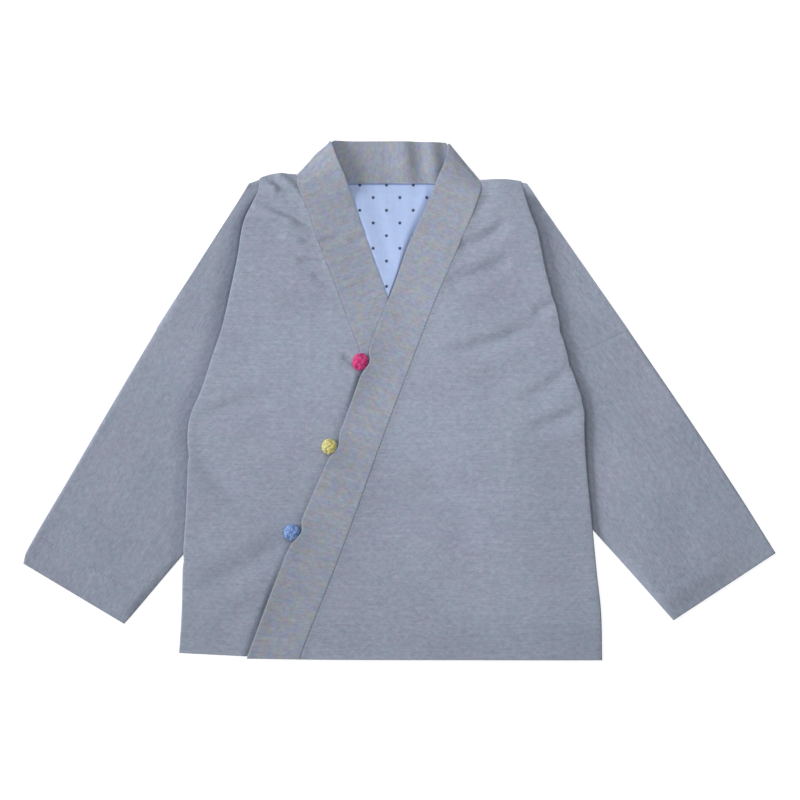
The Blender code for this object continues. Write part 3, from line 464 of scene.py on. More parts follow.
def smooth(rows, at, key=None, column=None):
    """Read a column of a table on a smooth curve through its rows, which are in order of key.

    Where they aren't named, the key is the first column and the second one is read.
    """
    fields = rows[0]._fields
    knots = np.array([getattr(row, key or fields[0]) for row in rows])
    values = np.array([getattr(row, column or fields[1]) for row in rows])
    if knots[0] > knots[-1]:
        knots = knots[::-1]
        values = values[::-1]
    last = len(knots) - 1
    before = np.maximum(np.arange(last + 1) - 1, 0)
    after = np.minimum(np.arange(last + 1) + 1, last)
    slopes = (values[after] - values[before]) / (knots[after] - knots[before])
    at = np.clip(at, knots[0], knots[-1])
    low = np.clip(np.searchsorted(knots, at, side="right") - 1, 0, last - 1)
    step = knots[low + 1] - knots[low]
    t = (at - knots[low]) / step
    start = values[low] * (1 + 2 * t) * (1 - t) ** 2 + slopes[low] * step * t * (1 - t) ** 2
    end = values[low + 1] * t * t * (3 - 2 * t) + slopes[low + 1] * step * t * t * (t - 1)
    return start + end


def read_point(rows, at, key, edge):
    """Read the two columns of a table that hold the x and y of an edge."""
    return smooth(rows, at, key, f"{edge}_x"), smooth(rows, at, key, f"{edge}_y")


def edge_points(rows, edge):
    """The points of an edge whose x and y are two columns of a table."""
    return [(getattr(row, f"{edge}_x"), getattr(row, f"{edge}_y")) for row in rows]


def shares(steps):
    """Shares from 0 to 1 in even steps."""
    return np.linspace(0.0, 1.0, steps + 1)


def strips(parts):
    """Join strips of points side by side, each given as arrays of its coordinates."""
    return np.concatenate([np.stack(np.broadcast_arrays(*part), -1) for part in parts], 1)


def distance_to_path(x, y, path):
    """Distance from points to the nearest of a path's straight stretches."""
    nearest = np.full(np.broadcast(x, y).shape, np.inf)
    for (ax, ay), (bx, by) in zip(path, path[1:]):
        dx = bx - ax
        dy = by - ay
        share = np.clip(((x - ax) * dx + (y - ay) * dy) / (dx * dx + dy * dy), 0.0, 1.0)
        nearest = np.minimum(nearest, np.hypot(x - ax - share * dx, y - ay - share * dy))
    return nearest


def distance_outside(x, y, outline):
    """How far points lie outside an outline, or 0 inside it."""
    inside = np.zeros(np.broadcast(x, y).shape, bool)
    for (ax, ay), (bx, by) in zip(outline, outline[1:]):
        if ay != by:
            inside ^= ((ay > y) != (by > y)) & (x < ax + (y - ay) / (by - ay) * (bx - ax))
    return np.where(inside, 0.0, distance_to_path(x, y, outline))


def sleeve_outline(side):
    """Outline of a sleeve and the upper arm, from the shoulder round the cuff and back."""
    outer = edge_points(side.sleeve, "outer")
    inner = edge_points(side.sleeve, "inner")[::-1]
    return [side.shoulder, side.corner, *outer, *inner, side.tuck, side.shoulder]


def pleat_outline(side):
    """Outline of the pleat that is folded in behind a side edge."""
    return [side.shoulder, side.underarm, side.tuck, side.shoulder]


BELOW = [outline(side) for side in (RIGHT, LEFT) for outline in (sleeve_outline, pleat_outline)]


def rise(x, y, slope=SLOPE):
    """Height of the body's underside, over the sleeves and the pleats that lie beneath it."""
    height = 0.0
    for outline in BELOW:
        beyond = distance_outside(x, y, outline) - LEVEL_MARGIN
        height = height + 2 * LAYER * (1.0 - ease(beyond / slope))
    return height


def side_x(side, y):
    """Where the body's side edge lies, drawn in by the creases that reach it."""
    x = smooth(side.edge, y)
    for notch in side.notches:
        x = x - side.sign * notch.value * np.exp(-(((y - notch.y) / NOTCH_LENGTH) ** 2))
    return x


def from_sides(x, y):
    """Distance in from the nearer of the body's side edges."""
    return np.minimum(x - side_x(RIGHT, y), side_x(LEFT, y) - x)


def from_edges(x, y):
    """Distance in from the body's sides, shoulders and hem."""
    from_side = from_sides(x, y)
    from_top = smooth(FRONT_TOP, x) - y
    from_hem = y - smooth(HEM, x)
    return np.minimum(from_side, np.minimum(from_top, from_hem))


def settled(x, y):
    """The loft's share: 0 at the shoulders and hem, less at the sides, and 1 inside."""
    beside = mix(SIDE_SHARE, 1.0, ease(from_sides(x, y) / SIDE_EASE))
    below = ease((smooth(FRONT_TOP, x) - y) / TOP_EASE)
    above = ease((y - smooth(HEM, x)) / EDGE_EASE)
    return beside * np.minimum(below, above)


def relief(creases, x, y):
    """Depth of the creases at points of the cloth."""
    depth = np.zeros(np.broadcast(x, y).shape)
    for crease in creases:
        dx = crease.x1 - crease.x0
        dy = crease.y1 - crease.y0
        length = math.hypot(dx, dy)
        along = ((x - crease.x0) * dx + (y - crease.y0) * dy) / length**2
        inside = np.clip(along, 0.0, 1.0)
        past = (along - inside) * length / crease.width
        across = ((y - crease.y0) * dx - (x - crease.x0) * dy) / length
        across = (across - crease.bow * 4 * inside * (1 - inside)) / crease.width
        across = across / np.where(across > 0.0, 1.0 - crease.lean, 1.0 + crease.lean)
        taper = mix(crease.start, 1.0, ease(inside / TAPER))
        taper = taper * mix(crease.end, 1.0, ease((1.0 - inside) / TAPER))
        trough = np.exp(-(across**2))
        flanks = np.exp(-(((np.abs(across) - FLANK_PLACE) / FLANK_WIDTH) ** 2))
        shape = (trough - FLANK_SHARE * flanks) * np.exp(-(past**2))
        depth += crease.depth * taper * shape
    return depth


NOISE = np.random.default_rng(NOISE_SEED).uniform(-1.0, 1.0, (NOISE_CELLS, NOISE_CELLS))


def unevenness(x, y, size, shift):
    """Smooth seeded noise between -1 and 1 with hills about this size."""
    u = np.asarray(x) / size + 1000.5 + shift
    v = np.asarray(y) / size + 1000.5 - shift
    column = np.floor(u).astype(int)
    row = np.floor(v).astype(int)
    across = ease(u - column)
    up = ease(v - row)

    def at(right, above):
        return NOISE[(row + above) % NOISE_CELLS, (column + right) % NOISE_CELLS]

    return mix(mix(at(0, 0), at(1, 0), across), mix(at(0, 1), at(1, 1), across), up)


def waves(rows, x, y):
    """The cloth's slight general unevenness."""
    height = 0.0
    for wave in rows:
        noise = unevenness(x * wave.across, y * wave.up, wave.size, wave.shift)
        height = height + wave.height * noise
    return height


def lap_rise(x, y):
    """How far the over front and its band are raised by the under front beneath them."""
    beyond = (x - smooth(UNDER_BAND, y, "free_y", "free_x")) - LAP_MARGIN
    return LAP * (1.0 - ease(beyond / LAP_SLOPE))


def free_edge_x(y):
    """Where the over band's free edge lies, bent clear of the buttons."""
    x = smooth(OVER_BAND, y, "free_y", "free_x")
    for button in BUTTONS:
        beside = smooth(OVER_BAND, button.y, "free_y", "free_x")
        need = button.width / 2 + BUTTON_ROOM - (beside - button.x)
        x = x + max(need, 0.0) * np.exp(-(((y - button.y) / BULGE_LENGTH) ** 2))
    return x


def edge_dip(x, y):
    """Depth of the groove that the under front has beside the over band's free edge."""
    away = x - free_edge_x(y)
    depth = smooth(EDGE_DIP, y) * (y < EDGE_DIP[0].y)
    return depth * np.exp(-((away / DIP_WIDTH) ** 2))


def front_rise(x, y, loft):
    """Height of the fronts' underside, which comes down more gently inside the body."""
    return mix(rise(x, y), rise(x, y, WIDE_SLOPE), loft)


def side_roll(x, y):
    """How far the fronts roll down near their side edges."""
    roll = np.where(x < 0.0, ROLL_RIGHT, ROLL_LEFT)
    return roll * (1.0 - ease(from_sides(x, y) / ROLL_WIDTH))


def seam_distance(x, y, over):
    """Distance from the seam of the collar band, into the front."""
    if over:
        return x - smooth(OVER_BAND, y)
    return smooth(UNDER_BAND, y) - x


def front_height(x, y, over):
    """Height of the middle of a front's wall."""
    loft = settled(x, y)
    kept = mix(EDGE_SHARE, 1.0, ease(from_edges(x, y) / CREASE_FADE))
    creases = relief(OVER_CREASES if over else UNDER_CREASES, x, y)
    height = front_rise(x, y, loft) + CLOTH + GAP + CLOTH / 2 + PUFF + loft * BODY_LOFT
    height = height - kept * creases + loft * waves(BODY_WAVES, x, y) - side_roll(x, y)
    height = height + SEAM_SWELL * np.exp(-((seam_distance(x, y, over) / SEAM_REACH) ** 2))
    if over:
        return height + lap_rise(x, y)
    return height - edge_dip(x, y)


def lifted(side, y):
    """How far the outer fold of the upper arm is off the ground, from 0 to 1."""
    return ease((y - side.drop[1]) / LIFT_LENGTH)


def from_outer_fold(side, x, y):
    """Distance in from the outer fold of a sleeve and the upper arm."""
    return distance_to_path(x, y, [side.corner, *edge_points(side.sleeve, "outer")])


def sleeve_swell(side, x, y):
    """How far a sleeve swells up beside the body's edge, which presses it down."""
    beyond = np.maximum(side.sign * (x - side_x(side, y)), 0.0)
    from_outer = from_outer_fold(side, x, y)
    width = from_outer + beyond + 1e-6
    low = 1.0 - np.minimum(beyond / np.minimum(SWELL_REACH, SWELL_REACH_SHARE * width), 1.0)
    rim = 1.0 - np.minimum(from_outer / np.minimum(SWELL_RIM, SWELL_RIM_SHARE * width), 1.0)
    rounded = mix(np.sqrt(1.0 - rim**2), 1.0, lifted(side, y))
    return smooth(side.swell, y) * (1.0 - low**2) * rounded


def sleeve_loft(side, x, y):
    """How far the upper side of a sleeve puffs up where it lies clear of the body."""
    beyond = side.sign * (x - side_x(side, y))
    outer = edge_points(side.sleeve, "outer")
    inner = edge_points(side.sleeve, "inner")
    edges = ease(from_outer_fold(side, x, y) / OUTER_EASE)
    edges = edges * ease(distance_to_path(x, y, inner) / INNER_ROLL)
    edges = edges * ease(distance_to_path(x, y, [outer[-1], inner[-1]]) / CUFF_EASE)
    uneven = waves(SLEEVE_WAVES, x, y)
    loft = ease(beyond / SLEEVE_REACH) * (SLEEVE_LOFT + uneven - relief(side.creases, x, y))
    loft = loft + ease(beyond / INNER_REACH) * INNER_LIFT
    return edges * loft + sleeve_swell(side, x, y)


def turn(centre, outward, upper, lower, share, depth=None):
    """A point on the half circle that joins two layers at a fold, from the upper one down.

    With a depth it is half an ellipse that reaches out that far.
    """
    angle = math.pi * (0.5 - share)
    radius = (upper - lower) / 2
    reach = (radius if depth is None else depth) * np.cos(angle)
    height = (upper + lower) / 2 + radius * np.sin(angle)
    return centre[0] + outward[0] * reach, centre[1] + outward[1] * reach, height


def side_share(side, y):
    """How far down its side edge a height lies, from 0 at the shoulder to 1 at the hem."""
    return (side.shoulder[1] - y) / (side.shoulder[1] - side.edge[-1].y)


UNDERARM_SHARE = {side.sign: side_share(side, side.underarm[1]) for side in (RIGHT, LEFT)}


def steps_for(length, cell=CELL):
    """How many cells a length takes."""
    return max(2, round(length / cell))


def rows_down(sides, cell):
    """The shares down the side edges at which a piece's rows lie, with one at each underarm."""
    height = sides[0].shoulder[1] - sides[0].edge[-1].y
    marks = [0.0] + sorted(UNDERARM_SHARE[side.sign] for side in sides) + [1.0]
    rows = [np.array([0.0])]
    for start, end in zip(marks, marks[1:]):
        steps = steps_for((end - start) * height, cell)
        rows.append(np.linspace(start, end, steps + 1)[1:])
    return np.concatenate(rows)


def fold_sheet(side, down, levels, upper, seam_level):
    """The folded cloth at a side: round the edge, in, round the tuck and out to the arm's edge.

    The layers lie together at the shoulder and part on the way down. Below the underarm the
    turned edge ends at the side seam. Returns the points and where each lies in the cloth as it
    was cut.
    """
    front = levels is FRONT_LEVELS
    edge_y = mix(side.shoulder[1], side.edge[-1].y, down)
    fan = (side.shoulder[1] - edge_y) / (side.shoulder[1] - side.underarm[1])
    drop = mix(side.corner, side.drop, fan)
    fan = np.maximum(fan, FAN_START)
    parted = ease(fan / FOLD_LEVEL_SHARE)
    below = ease((side.underarm[1] - edge_y) / WALL_LENGTH)
    pleat_level = mix(upper - PLEAT_TOGETHER, mix(levels.pleat, seam_level, below), parted)
    arm_level = mix(upper - ARM_TOGETHER, levels.arm, parted)
    room = TURN_ROOM * parted
    edge = (body_edge(side, edge_y, down, front), edge_y)
    tuck = mix(side.shoulder, side.tuck, fan)
    length = np.hypot(tuck[0] - edge[0], tuck[1] - edge[1]) + 1e-6
    inward = ((tuck[0] - edge[0]) / length, (tuck[1] - edge[1]) / length)
    tuck = (tuck[0] - inward[0] * room, tuck[1] - inward[1] * room)

    along = shares(TURN_STEPS)[1:]
    depth = EDGE_REACH * parted if front else None
    around = turn(edge, (side.sign, 0.0), upper, pleat_level, along, depth)
    arc = (upper - pleat_level) / 2 * math.pi * along
    parts = [(around, (edge[0] + side.sign * arc, edge[1] + 0.0 * arc))]

    across = shares(PLEAT_STEPS)[1:]
    x, y = mix(edge, tuck, across)
    shift = side.sign * (levels.body - levels.pleat) / 2 * math.pi
    mirrored = mirror_about(x, y, side.shoulder, side.underarm)
    parts.append(((x, y, pleat_level + 0.0 * x), (mirrored[0] + shift, mirrored[1])))

    around = turn(tuck, inward, pleat_level, arm_level, along)
    mirrored = mirror_about(around[0], around[1], side.shoulder, side.underarm)
    parts.append((around, (mirrored[0] + shift, mirrored[1])))

    width = math.dist(side.tuck, side.drop)
    across = shares(steps_for(width))[1:]
    x, y = mix(tuck, drop, across)
    if front:
        loft = sleeve_loft(side, x, y)
    else:
        loft = BACK_LIFT_SHARE * sleeve_swell(side, x, y) * lifted(side, y)
    cut = arm_cut(side, x, y)
    parts.append(((x, y, arm_level + loft), (cut[0] + shift, cut[1])))
    return strips([part for part, _ in parts]), strips([cut for _, cut in parts])


def mirror_about(x, y, start, end):
    """Mirror points about the line through two points."""
    dx = end[0] - start[0]
    dy = end[1] - start[1]
    share = ((x - start[0]) * dx + (y - start[1]) * dy) / (dx * dx + dy * dy)
    return 2 * (start[0] + share * dx) - x, 2 * (start[1] + share * dy) - y


def arm_cut(side, x, y):
    """Where points of a sleeve lie in the cloth before it is folded down behind the body."""
    x, y = mirror_about(x, y, side.shoulder, side.tuck)
    return mirror_about(x, y, side.shoulder, side.underarm)


def body_edge(side, y, down, front):
    """Where the body's own layer ends at a side edge. The back's lies inside the front's."""
    fan = down / UNDERARM_SHARE[side.sign]
    room = EDGE_ROOM if front else EDGE_ROOM + CLOTH
    if side is LEFT:
        room = room - EDGE_OUT * ease((1.0 - fan) / FOLD_LEVEL_SHARE)
    return side_x(side, y) - side.sign * room * ease(fan / FOLD_LEVEL_SHARE)


def folded_rows(side, down):
    """Which rows have the folded cloth at a side."""
    return down <= UNDERARM_SHARE[side.sign] + 1e-9


def make_object(name, points, faces, material, cuts=None):
    """Make an object from points in millimetres. Its cuts are their places in the cut cloth."""
    mesh = bpy.data.meshes.new(name)
    mesh.from_pydata((points * MM).tolist(), [], faces)
    if cuts is not None:
        places = cuts[np.concatenate(faces)].astype(np.float32)
        mesh.uv_layers.new(name="cut").data.foreach_set("uv", places.ravel())
    mesh.shade_smooth()
    mesh.materials.append(material)
    made = bpy.data.objects.new(name, mesh)
    bpy.context.scene.collection.objects.link(made)
    return made


def tube_faces(rings, sides, cyclic=False):
    """Faces of a tube of rings, closed to a loop or with a cap at each end."""
    index = np.arange(rings * sides).reshape(rings, sides)
    wrapped = np.concatenate([index, index[:, :1]], 1)
    if cyclic:
        wrapped = np.concatenate([wrapped, wrapped[:1]], 0)
    faces = np.stack([wrapped[:-1, :-1], wrapped[:-1, 1:], wrapped[1:, 1:], wrapped[1:, :-1]], -1)
    faces = faces.reshape(-1, 4).tolist()
    if not cyclic:
        faces += [index[0][::-1].tolist(), index[-1].tolist()]
    return faces


def cloth_object(name, points, cuts, keep, wall, material, closed=False):
    """Make a sheet of cloth from a grid of points, as a closed wall with rounded rims."""
    rows, columns = points.shape[:2]
    index = np.arange(rows * columns).reshape(rows, columns)
    if closed:
        index = np.concatenate([index, index[:, :1]], 1)
    corners = np.stack([index[:-1, :-1], index[1:, :-1], index[1:, 1:], index[:-1, 1:]], -1)
    faces = corners[keep] if keep is not None else corners.reshape(-1, 4)
    used, renumbered = np.unique(faces, return_inverse=True)
    faces = renumbered.reshape(-1, 4).tolist()
    points = points.reshape(-1, 3)[used]
    piece = make_object(name, points, faces, material, cuts.reshape(-1, 2)[used])
    wall_step = piece.modifiers.new("wall", "SOLIDIFY")
    wall_step.thickness = wall * MM
    wall_step.offset = 0.0
    wall_step.use_even_offset = False
    rim = piece.modifiers.new("rim", "BEVEL")
    rim.width = RIM * MM
    rim.segments = 2
    rim.limit_method = "ANGLE"
    rim.angle_limit = math.radians(50.0)
    return piece


def front_piece(name, side, band, over, material):
    """A front: its body from the collar seam to the side, and its folded upper sleeve."""
    down = rows_down([side], FRONT_CELL)[:, None]
    widest = abs(side.edge[-1].x - band[-1].seam_x)
    share = shares(steps_for(widest, FRONT_CELL))
    share = np.insert(share, -1, 1.0 - EDGE_CELL / widest)[None, :]
    top = smooth(FRONT_TOP, mix(band[0].seam_x, side.shoulder[0], share))
    low = smooth(HEM, mix(band[-1].seam_x, side.edge[-1].x, share))
    y = mix(top, low, down)
    seam = smooth(band, y) + side.sign * SEAM_GAP
    x = mix(seam, body_edge(side, y, down, True), share)
    body = np.stack([x, y, front_height(x, y, over)], -1)
    edge_y = mix(side.shoulder[1], side.edge[-1].y, down)
    upper = front_height(body_edge(side, edge_y, down, True), edge_y, over)
    seam_level = rise(side_x(side, edge_y), edge_y) + LAYER + CLOTH / 2
    folds, fold_cuts = fold_sheet(side, down, FRONT_LEVELS, upper, seam_level)
    points = np.concatenate([body, folds], 1)
    cuts = np.concatenate([body[..., :2], fold_cuts], 1)
    folded = folded_rows(side, down[:, 0])
    keep = np.ones((points.shape[0] - 1, points.shape[1] - 1), bool)
    keep[:, body.shape[1] - 1 + TURN_STEPS:] = (folded[:-1] & folded[1:])[:, None]
    return cloth_object(name, points, cuts, keep, CLOTH, material)


def back_piece(name, material):
    """The back: its body, and the folded upper sleeves at both sides."""
    down = rows_down([RIGHT, LEFT], BACK_CELL)[:, None]
    width = LEFT.edge[-1].x - RIGHT.edge[-1].x
    share = shares(steps_for(width, BACK_CELL))[None, :]
    top = smooth(BACK_TOP, mix(RIGHT.shoulder[0], LEFT.shoulder[0], share))
    low = smooth(HEM, mix(RIGHT.edge[-1].x, LEFT.edge[-1].x, share))
    y = mix(top, low, down)
    x = mix(body_edge(RIGHT, y, down, False), body_edge(LEFT, y, down, False), share)
    puff = relief(BACK_CREASES, x, y) * settled(x, y)
    body = np.stack([x, y, rise(x, y) + CLOTH / 2 + np.clip(puff, 0.0, rise(x, y) / 4)], -1)
    parts = []
    for side in (RIGHT, LEFT):
        parts.append(fold_sheet(side, down, BACK_LEVELS, BACK_LEVELS.body, BACK_LEVELS.pleat))
    points = np.concatenate([parts[0][0][:, ::-1], body, parts[1][0]], 1)
    cuts = np.concatenate([parts[0][1][:, ::-1], body[..., :2], parts[1][1]], 1)
    keep = np.ones((points.shape[0] - 1, points.shape[1] - 1), bool)
    first = parts[0][0].shape[1]
    for side, columns in ((RIGHT, slice(0, first)), (LEFT, slice(first + share.size - 1, None))):
        folded = folded_rows(side, down[:, 0])
        keep[:, columns] = (folded[:-1] & folded[1:])[:, None]
    return cloth_object(name, points, cuts, keep, CLOTH, material)


def sleeve_length(side):
    """Length of a lower sleeve along its outer fold."""
    outer = edge_points(side.sleeve, "outer")
    return math.dist(outer[0], outer[-1])


def hem_dip(from_stitches, loft):
    """Depth of the groove in which the stitches of a cuff's hem lie."""
    groove = CUFF_DIP * np.exp(-((from_stitches / CUFF_DIP_WIDTH) ** 2))
    return np.minimum(groove, loft * CUFF_DIP_SHARE)


def sleeve_piece(name, side, material):
    """A lower sleeve: a flattened tube from the dropped shoulder seam to the cuff."""
    first = side.sleeve[0]
    last = side.sleeve[-1]
    length = sleeve_length(side)
    width = math.dist((first.outer_x, first.outer_y), (first.inner_x, first.inner_y))
    downward = ((last.outer_x - first.outer_x) / length, (last.outer_y - first.outer_y) / length)
    along = shares(steps_for(length))[:, None]
    outer = read_point(side.sleeve, along, "along", "outer")
    inner = read_point(side.sleeve, along, "along", "inner")
    across = np.hypot(inner[0] - outer[0], inner[1] - outer[1])
    inward = ((inner[0] - outer[0]) / across, (inner[1] - outer[1]) / across)
    room = SLEEVE_TURN + CLOTH / 2
    start = (outer[0] + inward[0] * room, outer[1] + inward[1] * room)
    end = (inner[0] - inward[0] * room, inner[1] - inward[1] * room)
    share = shares(steps_for(width))[None, :]
    around = shares(TURN_STEPS)[1:-1][None, :]

    x, y = mix(start, end, share)
    under = (x, y, ARM_BACK + 0.0 * x)
    inner_turn = turn(end, inward, ARM_FRONT, ARM_BACK, 1.0 - around)
    x, y = mix(end, start, share)
    loft = sleeve_loft(side, x, y)
    over = (x, y, ARM_FRONT + loft - hem_dip((1.0 - along) * length - CUFF_HEM, loft))
    outer_turn = turn(start, (-inward[0], -inward[1]), ARM_FRONT, ARM_BACK, around)
    points = strips([under, inner_turn, over, outer_turn])
    middle = (ARM_FRONT + ARM_BACK) / 2
    seam = (side.tuck[0] - side.drop[0], side.tuck[1] - side.drop[1])
    past = (points[0, :, 0] - side.drop[0]) * seam[1] - (points[0, :, 1] - side.drop[1]) * seam[0]
    back = past / (downward[0] * seam[1] - downward[1] * seam[0]) + SEAM_LAP
    points[0, :, 0] -= back * downward[0]
    points[0, :, 1] -= back * downward[1]
    points[:2, :, 2] -= np.sign(points[:2, :, 2] - middle) * SEAM_SINK
    cuts = np.stack(arm_cut(side, points[..., 0], points[..., 1]), -1)
    return cloth_object(name, points, cuts, None, CLOTH, material, closed=True)


def band_heights(band, over, x, y, share, seam_y):
    """Heights of the middle of the collar band's wall on a front."""
    if over:
        lift = smooth(EDGE_LIFT, y) * (y < EDGE_LIFT[0].y) * share**EDGE_LIFT_POWER
    else:
        lift = 0.0
    near_neck = ease((band[0].seam_y - seam_y) / NECK_EASE)
    lofted = GAP + PUFF + BODY_LOFT * settled(x, y)
    base = np.where(seam_y > 0.0, mix(NECK_LIFT, GAP + PUFF + BODY_LOFT, near_neck), lofted)
    inside = np.where(seam_y > 0.0, near_neck, settled(x, y))
    height = front_rise(x, y, inside) + CLOTH + base + BAND / 2 + lift
    height = height + fold_lift(y, share) * (not over)
    height = height - relief(BAND_CREASES, x, y) + 0.5 * waves(BODY_WAVES, x, y) * settled(x, y)
    if over:
        height = height + lap_rise(x, y)
    return height


def fold_lift(y, share):
    """How far the under band stands up from the back's stand beside its fold."""
    return FOLD_LIFT * share**FOLD_LIFT_POWER * ease((y - FOLD_LIFT_FROM) / FOLD_LIFT_LENGTH)


def crease_outward(band):
    """Direction in plan that faces out from a band's neck crease."""
    along = (band[0].free_x - band[0].seam_x, band[0].free_y - band[0].seam_y)
    sign = math.copysign(1.0 / math.hypot(*along), band[0].seam_x)
    return sign * along[1], -sign * along[0]


def band_rungs(band, over):
    """The rungs of the band on a front, from the neck crease to the hem."""
    length = math.dist((band[0].seam_x, band[0].seam_y), (band[-1].seam_x, band[-1].seam_y))
    seam_y = np.linspace(band[0].seam_y, band[-1].seam_y, steps_for(length) + 1)[1:, None]
    share = shares(BAND_STEPS)[None, :]
    seam_x = smooth(band, seam_y)
    free_x, free_y = read_point(band, seam_y, "seam_y", "free")
    if over:
        free_x = free_x + free_edge_x(free_y) - smooth(OVER_BAND, free_y, "free_y", "free_x")
    x = mix(seam_x, free_x, share)
    y = mix(seam_y, free_y, share)
    outward = crease_outward(band)
    past = (x - band[0].seam_x) * outward[0] + (y - band[0].seam_y) * outward[1]
    inward = np.maximum(past + CREASE_ROOM + RUNG_ROOM, 0.0) * ease(share / RUNG_ROOM_SHARE)
    x = x - outward[0] * inward
    y = y - outward[1] * inward
    return np.stack([x, y, band_heights(band, over, x, y, share, seam_y)], -1)


def fold_ridge(x, y):
    """How far the stand swells up in the fold of the under band."""
    return np.maximum(-relief(FOLD_RIDGE, x, y), 0.0)


def crease_rungs(band):
    """The rungs round a neck crease, from the band on top to the stand below."""
    outward = crease_outward(band)
    share = np.linspace(0.0, CREASE_SHARE, BAND_STEPS + 1)[None, :]
    x = mix(band[0].seam_x, band[0].free_x, share) - outward[0] * CREASE_ROOM
    y = mix(band[0].seam_y, band[0].free_y, share) - outward[1] * CREASE_ROOM
    around = shares(TURN_STEPS)[:, None]
    over = CREASE_OVER + fold_lift(band[0].free_y, share) * (band is UNDER_BAND)
    under = CREASE_UNDER + fold_ridge(x, y)
    turned = turn((x, y), outward, over, under, around)
    return np.stack([turned[0], turned[1], turned[2] + rise(x, y)], -1)


def stand_rungs():
    """The rungs across the band behind the neck, from the wearer's right to the left."""
    start = STAND[0].seam_x + STAND_MARGIN
    end = STAND[-1].seam_x - STAND_MARGIN
    seam_x = np.linspace(start, end, steps_for(end - start) + 1)[:, None]
    share = shares(BAND_STEPS)[None, :]
    free_x, free_y = read_point(STAND, seam_x, "seam_x", "free")
    x = mix(seam_x, free_x, share)
    y = mix(smooth(BACK_TOP, seam_x) + GAP, free_y, share)
    wavy = -relief(STAND_WAVES, x, y) * mix(STAND_LOW_SHARE, 1.0, ease(share * 2.0))
    wavy = wavy * ease((seam_x - start) / STAND_EASE_RIGHT)
    wavy = wavy * ease((end - seam_x) / STAND_EASE_LEFT)
    level = rise(x, y) + BAND / 2
    return np.stack([x, y, level + np.maximum(wavy, 0.0) + fold_ridge(x, y)], -1)


def collar_piece(name, material):
    """The collar band: up the under front, behind the neck, and down the over front."""
    points = np.concatenate([
        band_rungs(UNDER_BAND, False)[::-1],
        crease_rungs(UNDER_BAND),
        stand_rungs(),
        crease_rungs(OVER_BAND)[::-1],
        band_rungs(OVER_BAND, True),
    ])
    middle = points[:, BAND_STEPS // 2]
    steps = np.linalg.norm(np.diff(middle, axis=0), axis=1)
    length = np.concatenate([[0.0], np.cumsum(steps)])[:, None]
    width = np.linalg.norm(points - points[:, :1], axis=2)
    cuts = np.stack([width, length + 0.0 * width], -1)
    return cloth_object(name, points, cuts, None, BAND, material)


def lining_piece(name, material):
    """The back's lining in the neck opening, with its edges under the bands."""
    share = shares(LINING_STEPS)
    y = mix(NECK_SEAM_Y, LINING_LOW, share)[:, None]
    start = smooth(UNDER_BAND, y, "free_y", "free_x") - LINING_UNDERLAP
    end = smooth(OVER_BAND, y, "free_y", "free_x") + LINING_UNDERLAP
    x = mix(start, end, share[None, :])
    y = y + 0.0 * x
    folds = waves(LINING_WAVES, x, y) - relief(LINING_FOLDS, x, y)
    rising = ease((x - start - LINING_UNDERLAP + PUFF_START) / PUFF_REACH)
    fall = mix(PUFF_FALL_LOW, PUFF_FALL, ease((y - PUFF_LOW_Y) / PUFF_LOW_LENGTH))
    falling = ease((end - LINING_UNDERLAP - x) / fall)
    lift = LINING_LIFT + LINING_PUFF * np.minimum(rising, falling)
    below_seam = ease((NECK_SEAM_Y - y) / NECK_EASE)
    z = front_rise(x, y, below_seam) + CLOTH + GAP + LINING / 2 + lift * below_seam
    z = z + np.maximum(folds + FOLD_RAISE, FOLD_FLOOR)
    points = np.stack([x, y, z], -1)
    return cloth_object(name, points, points[..., :2], None, LINING, material)


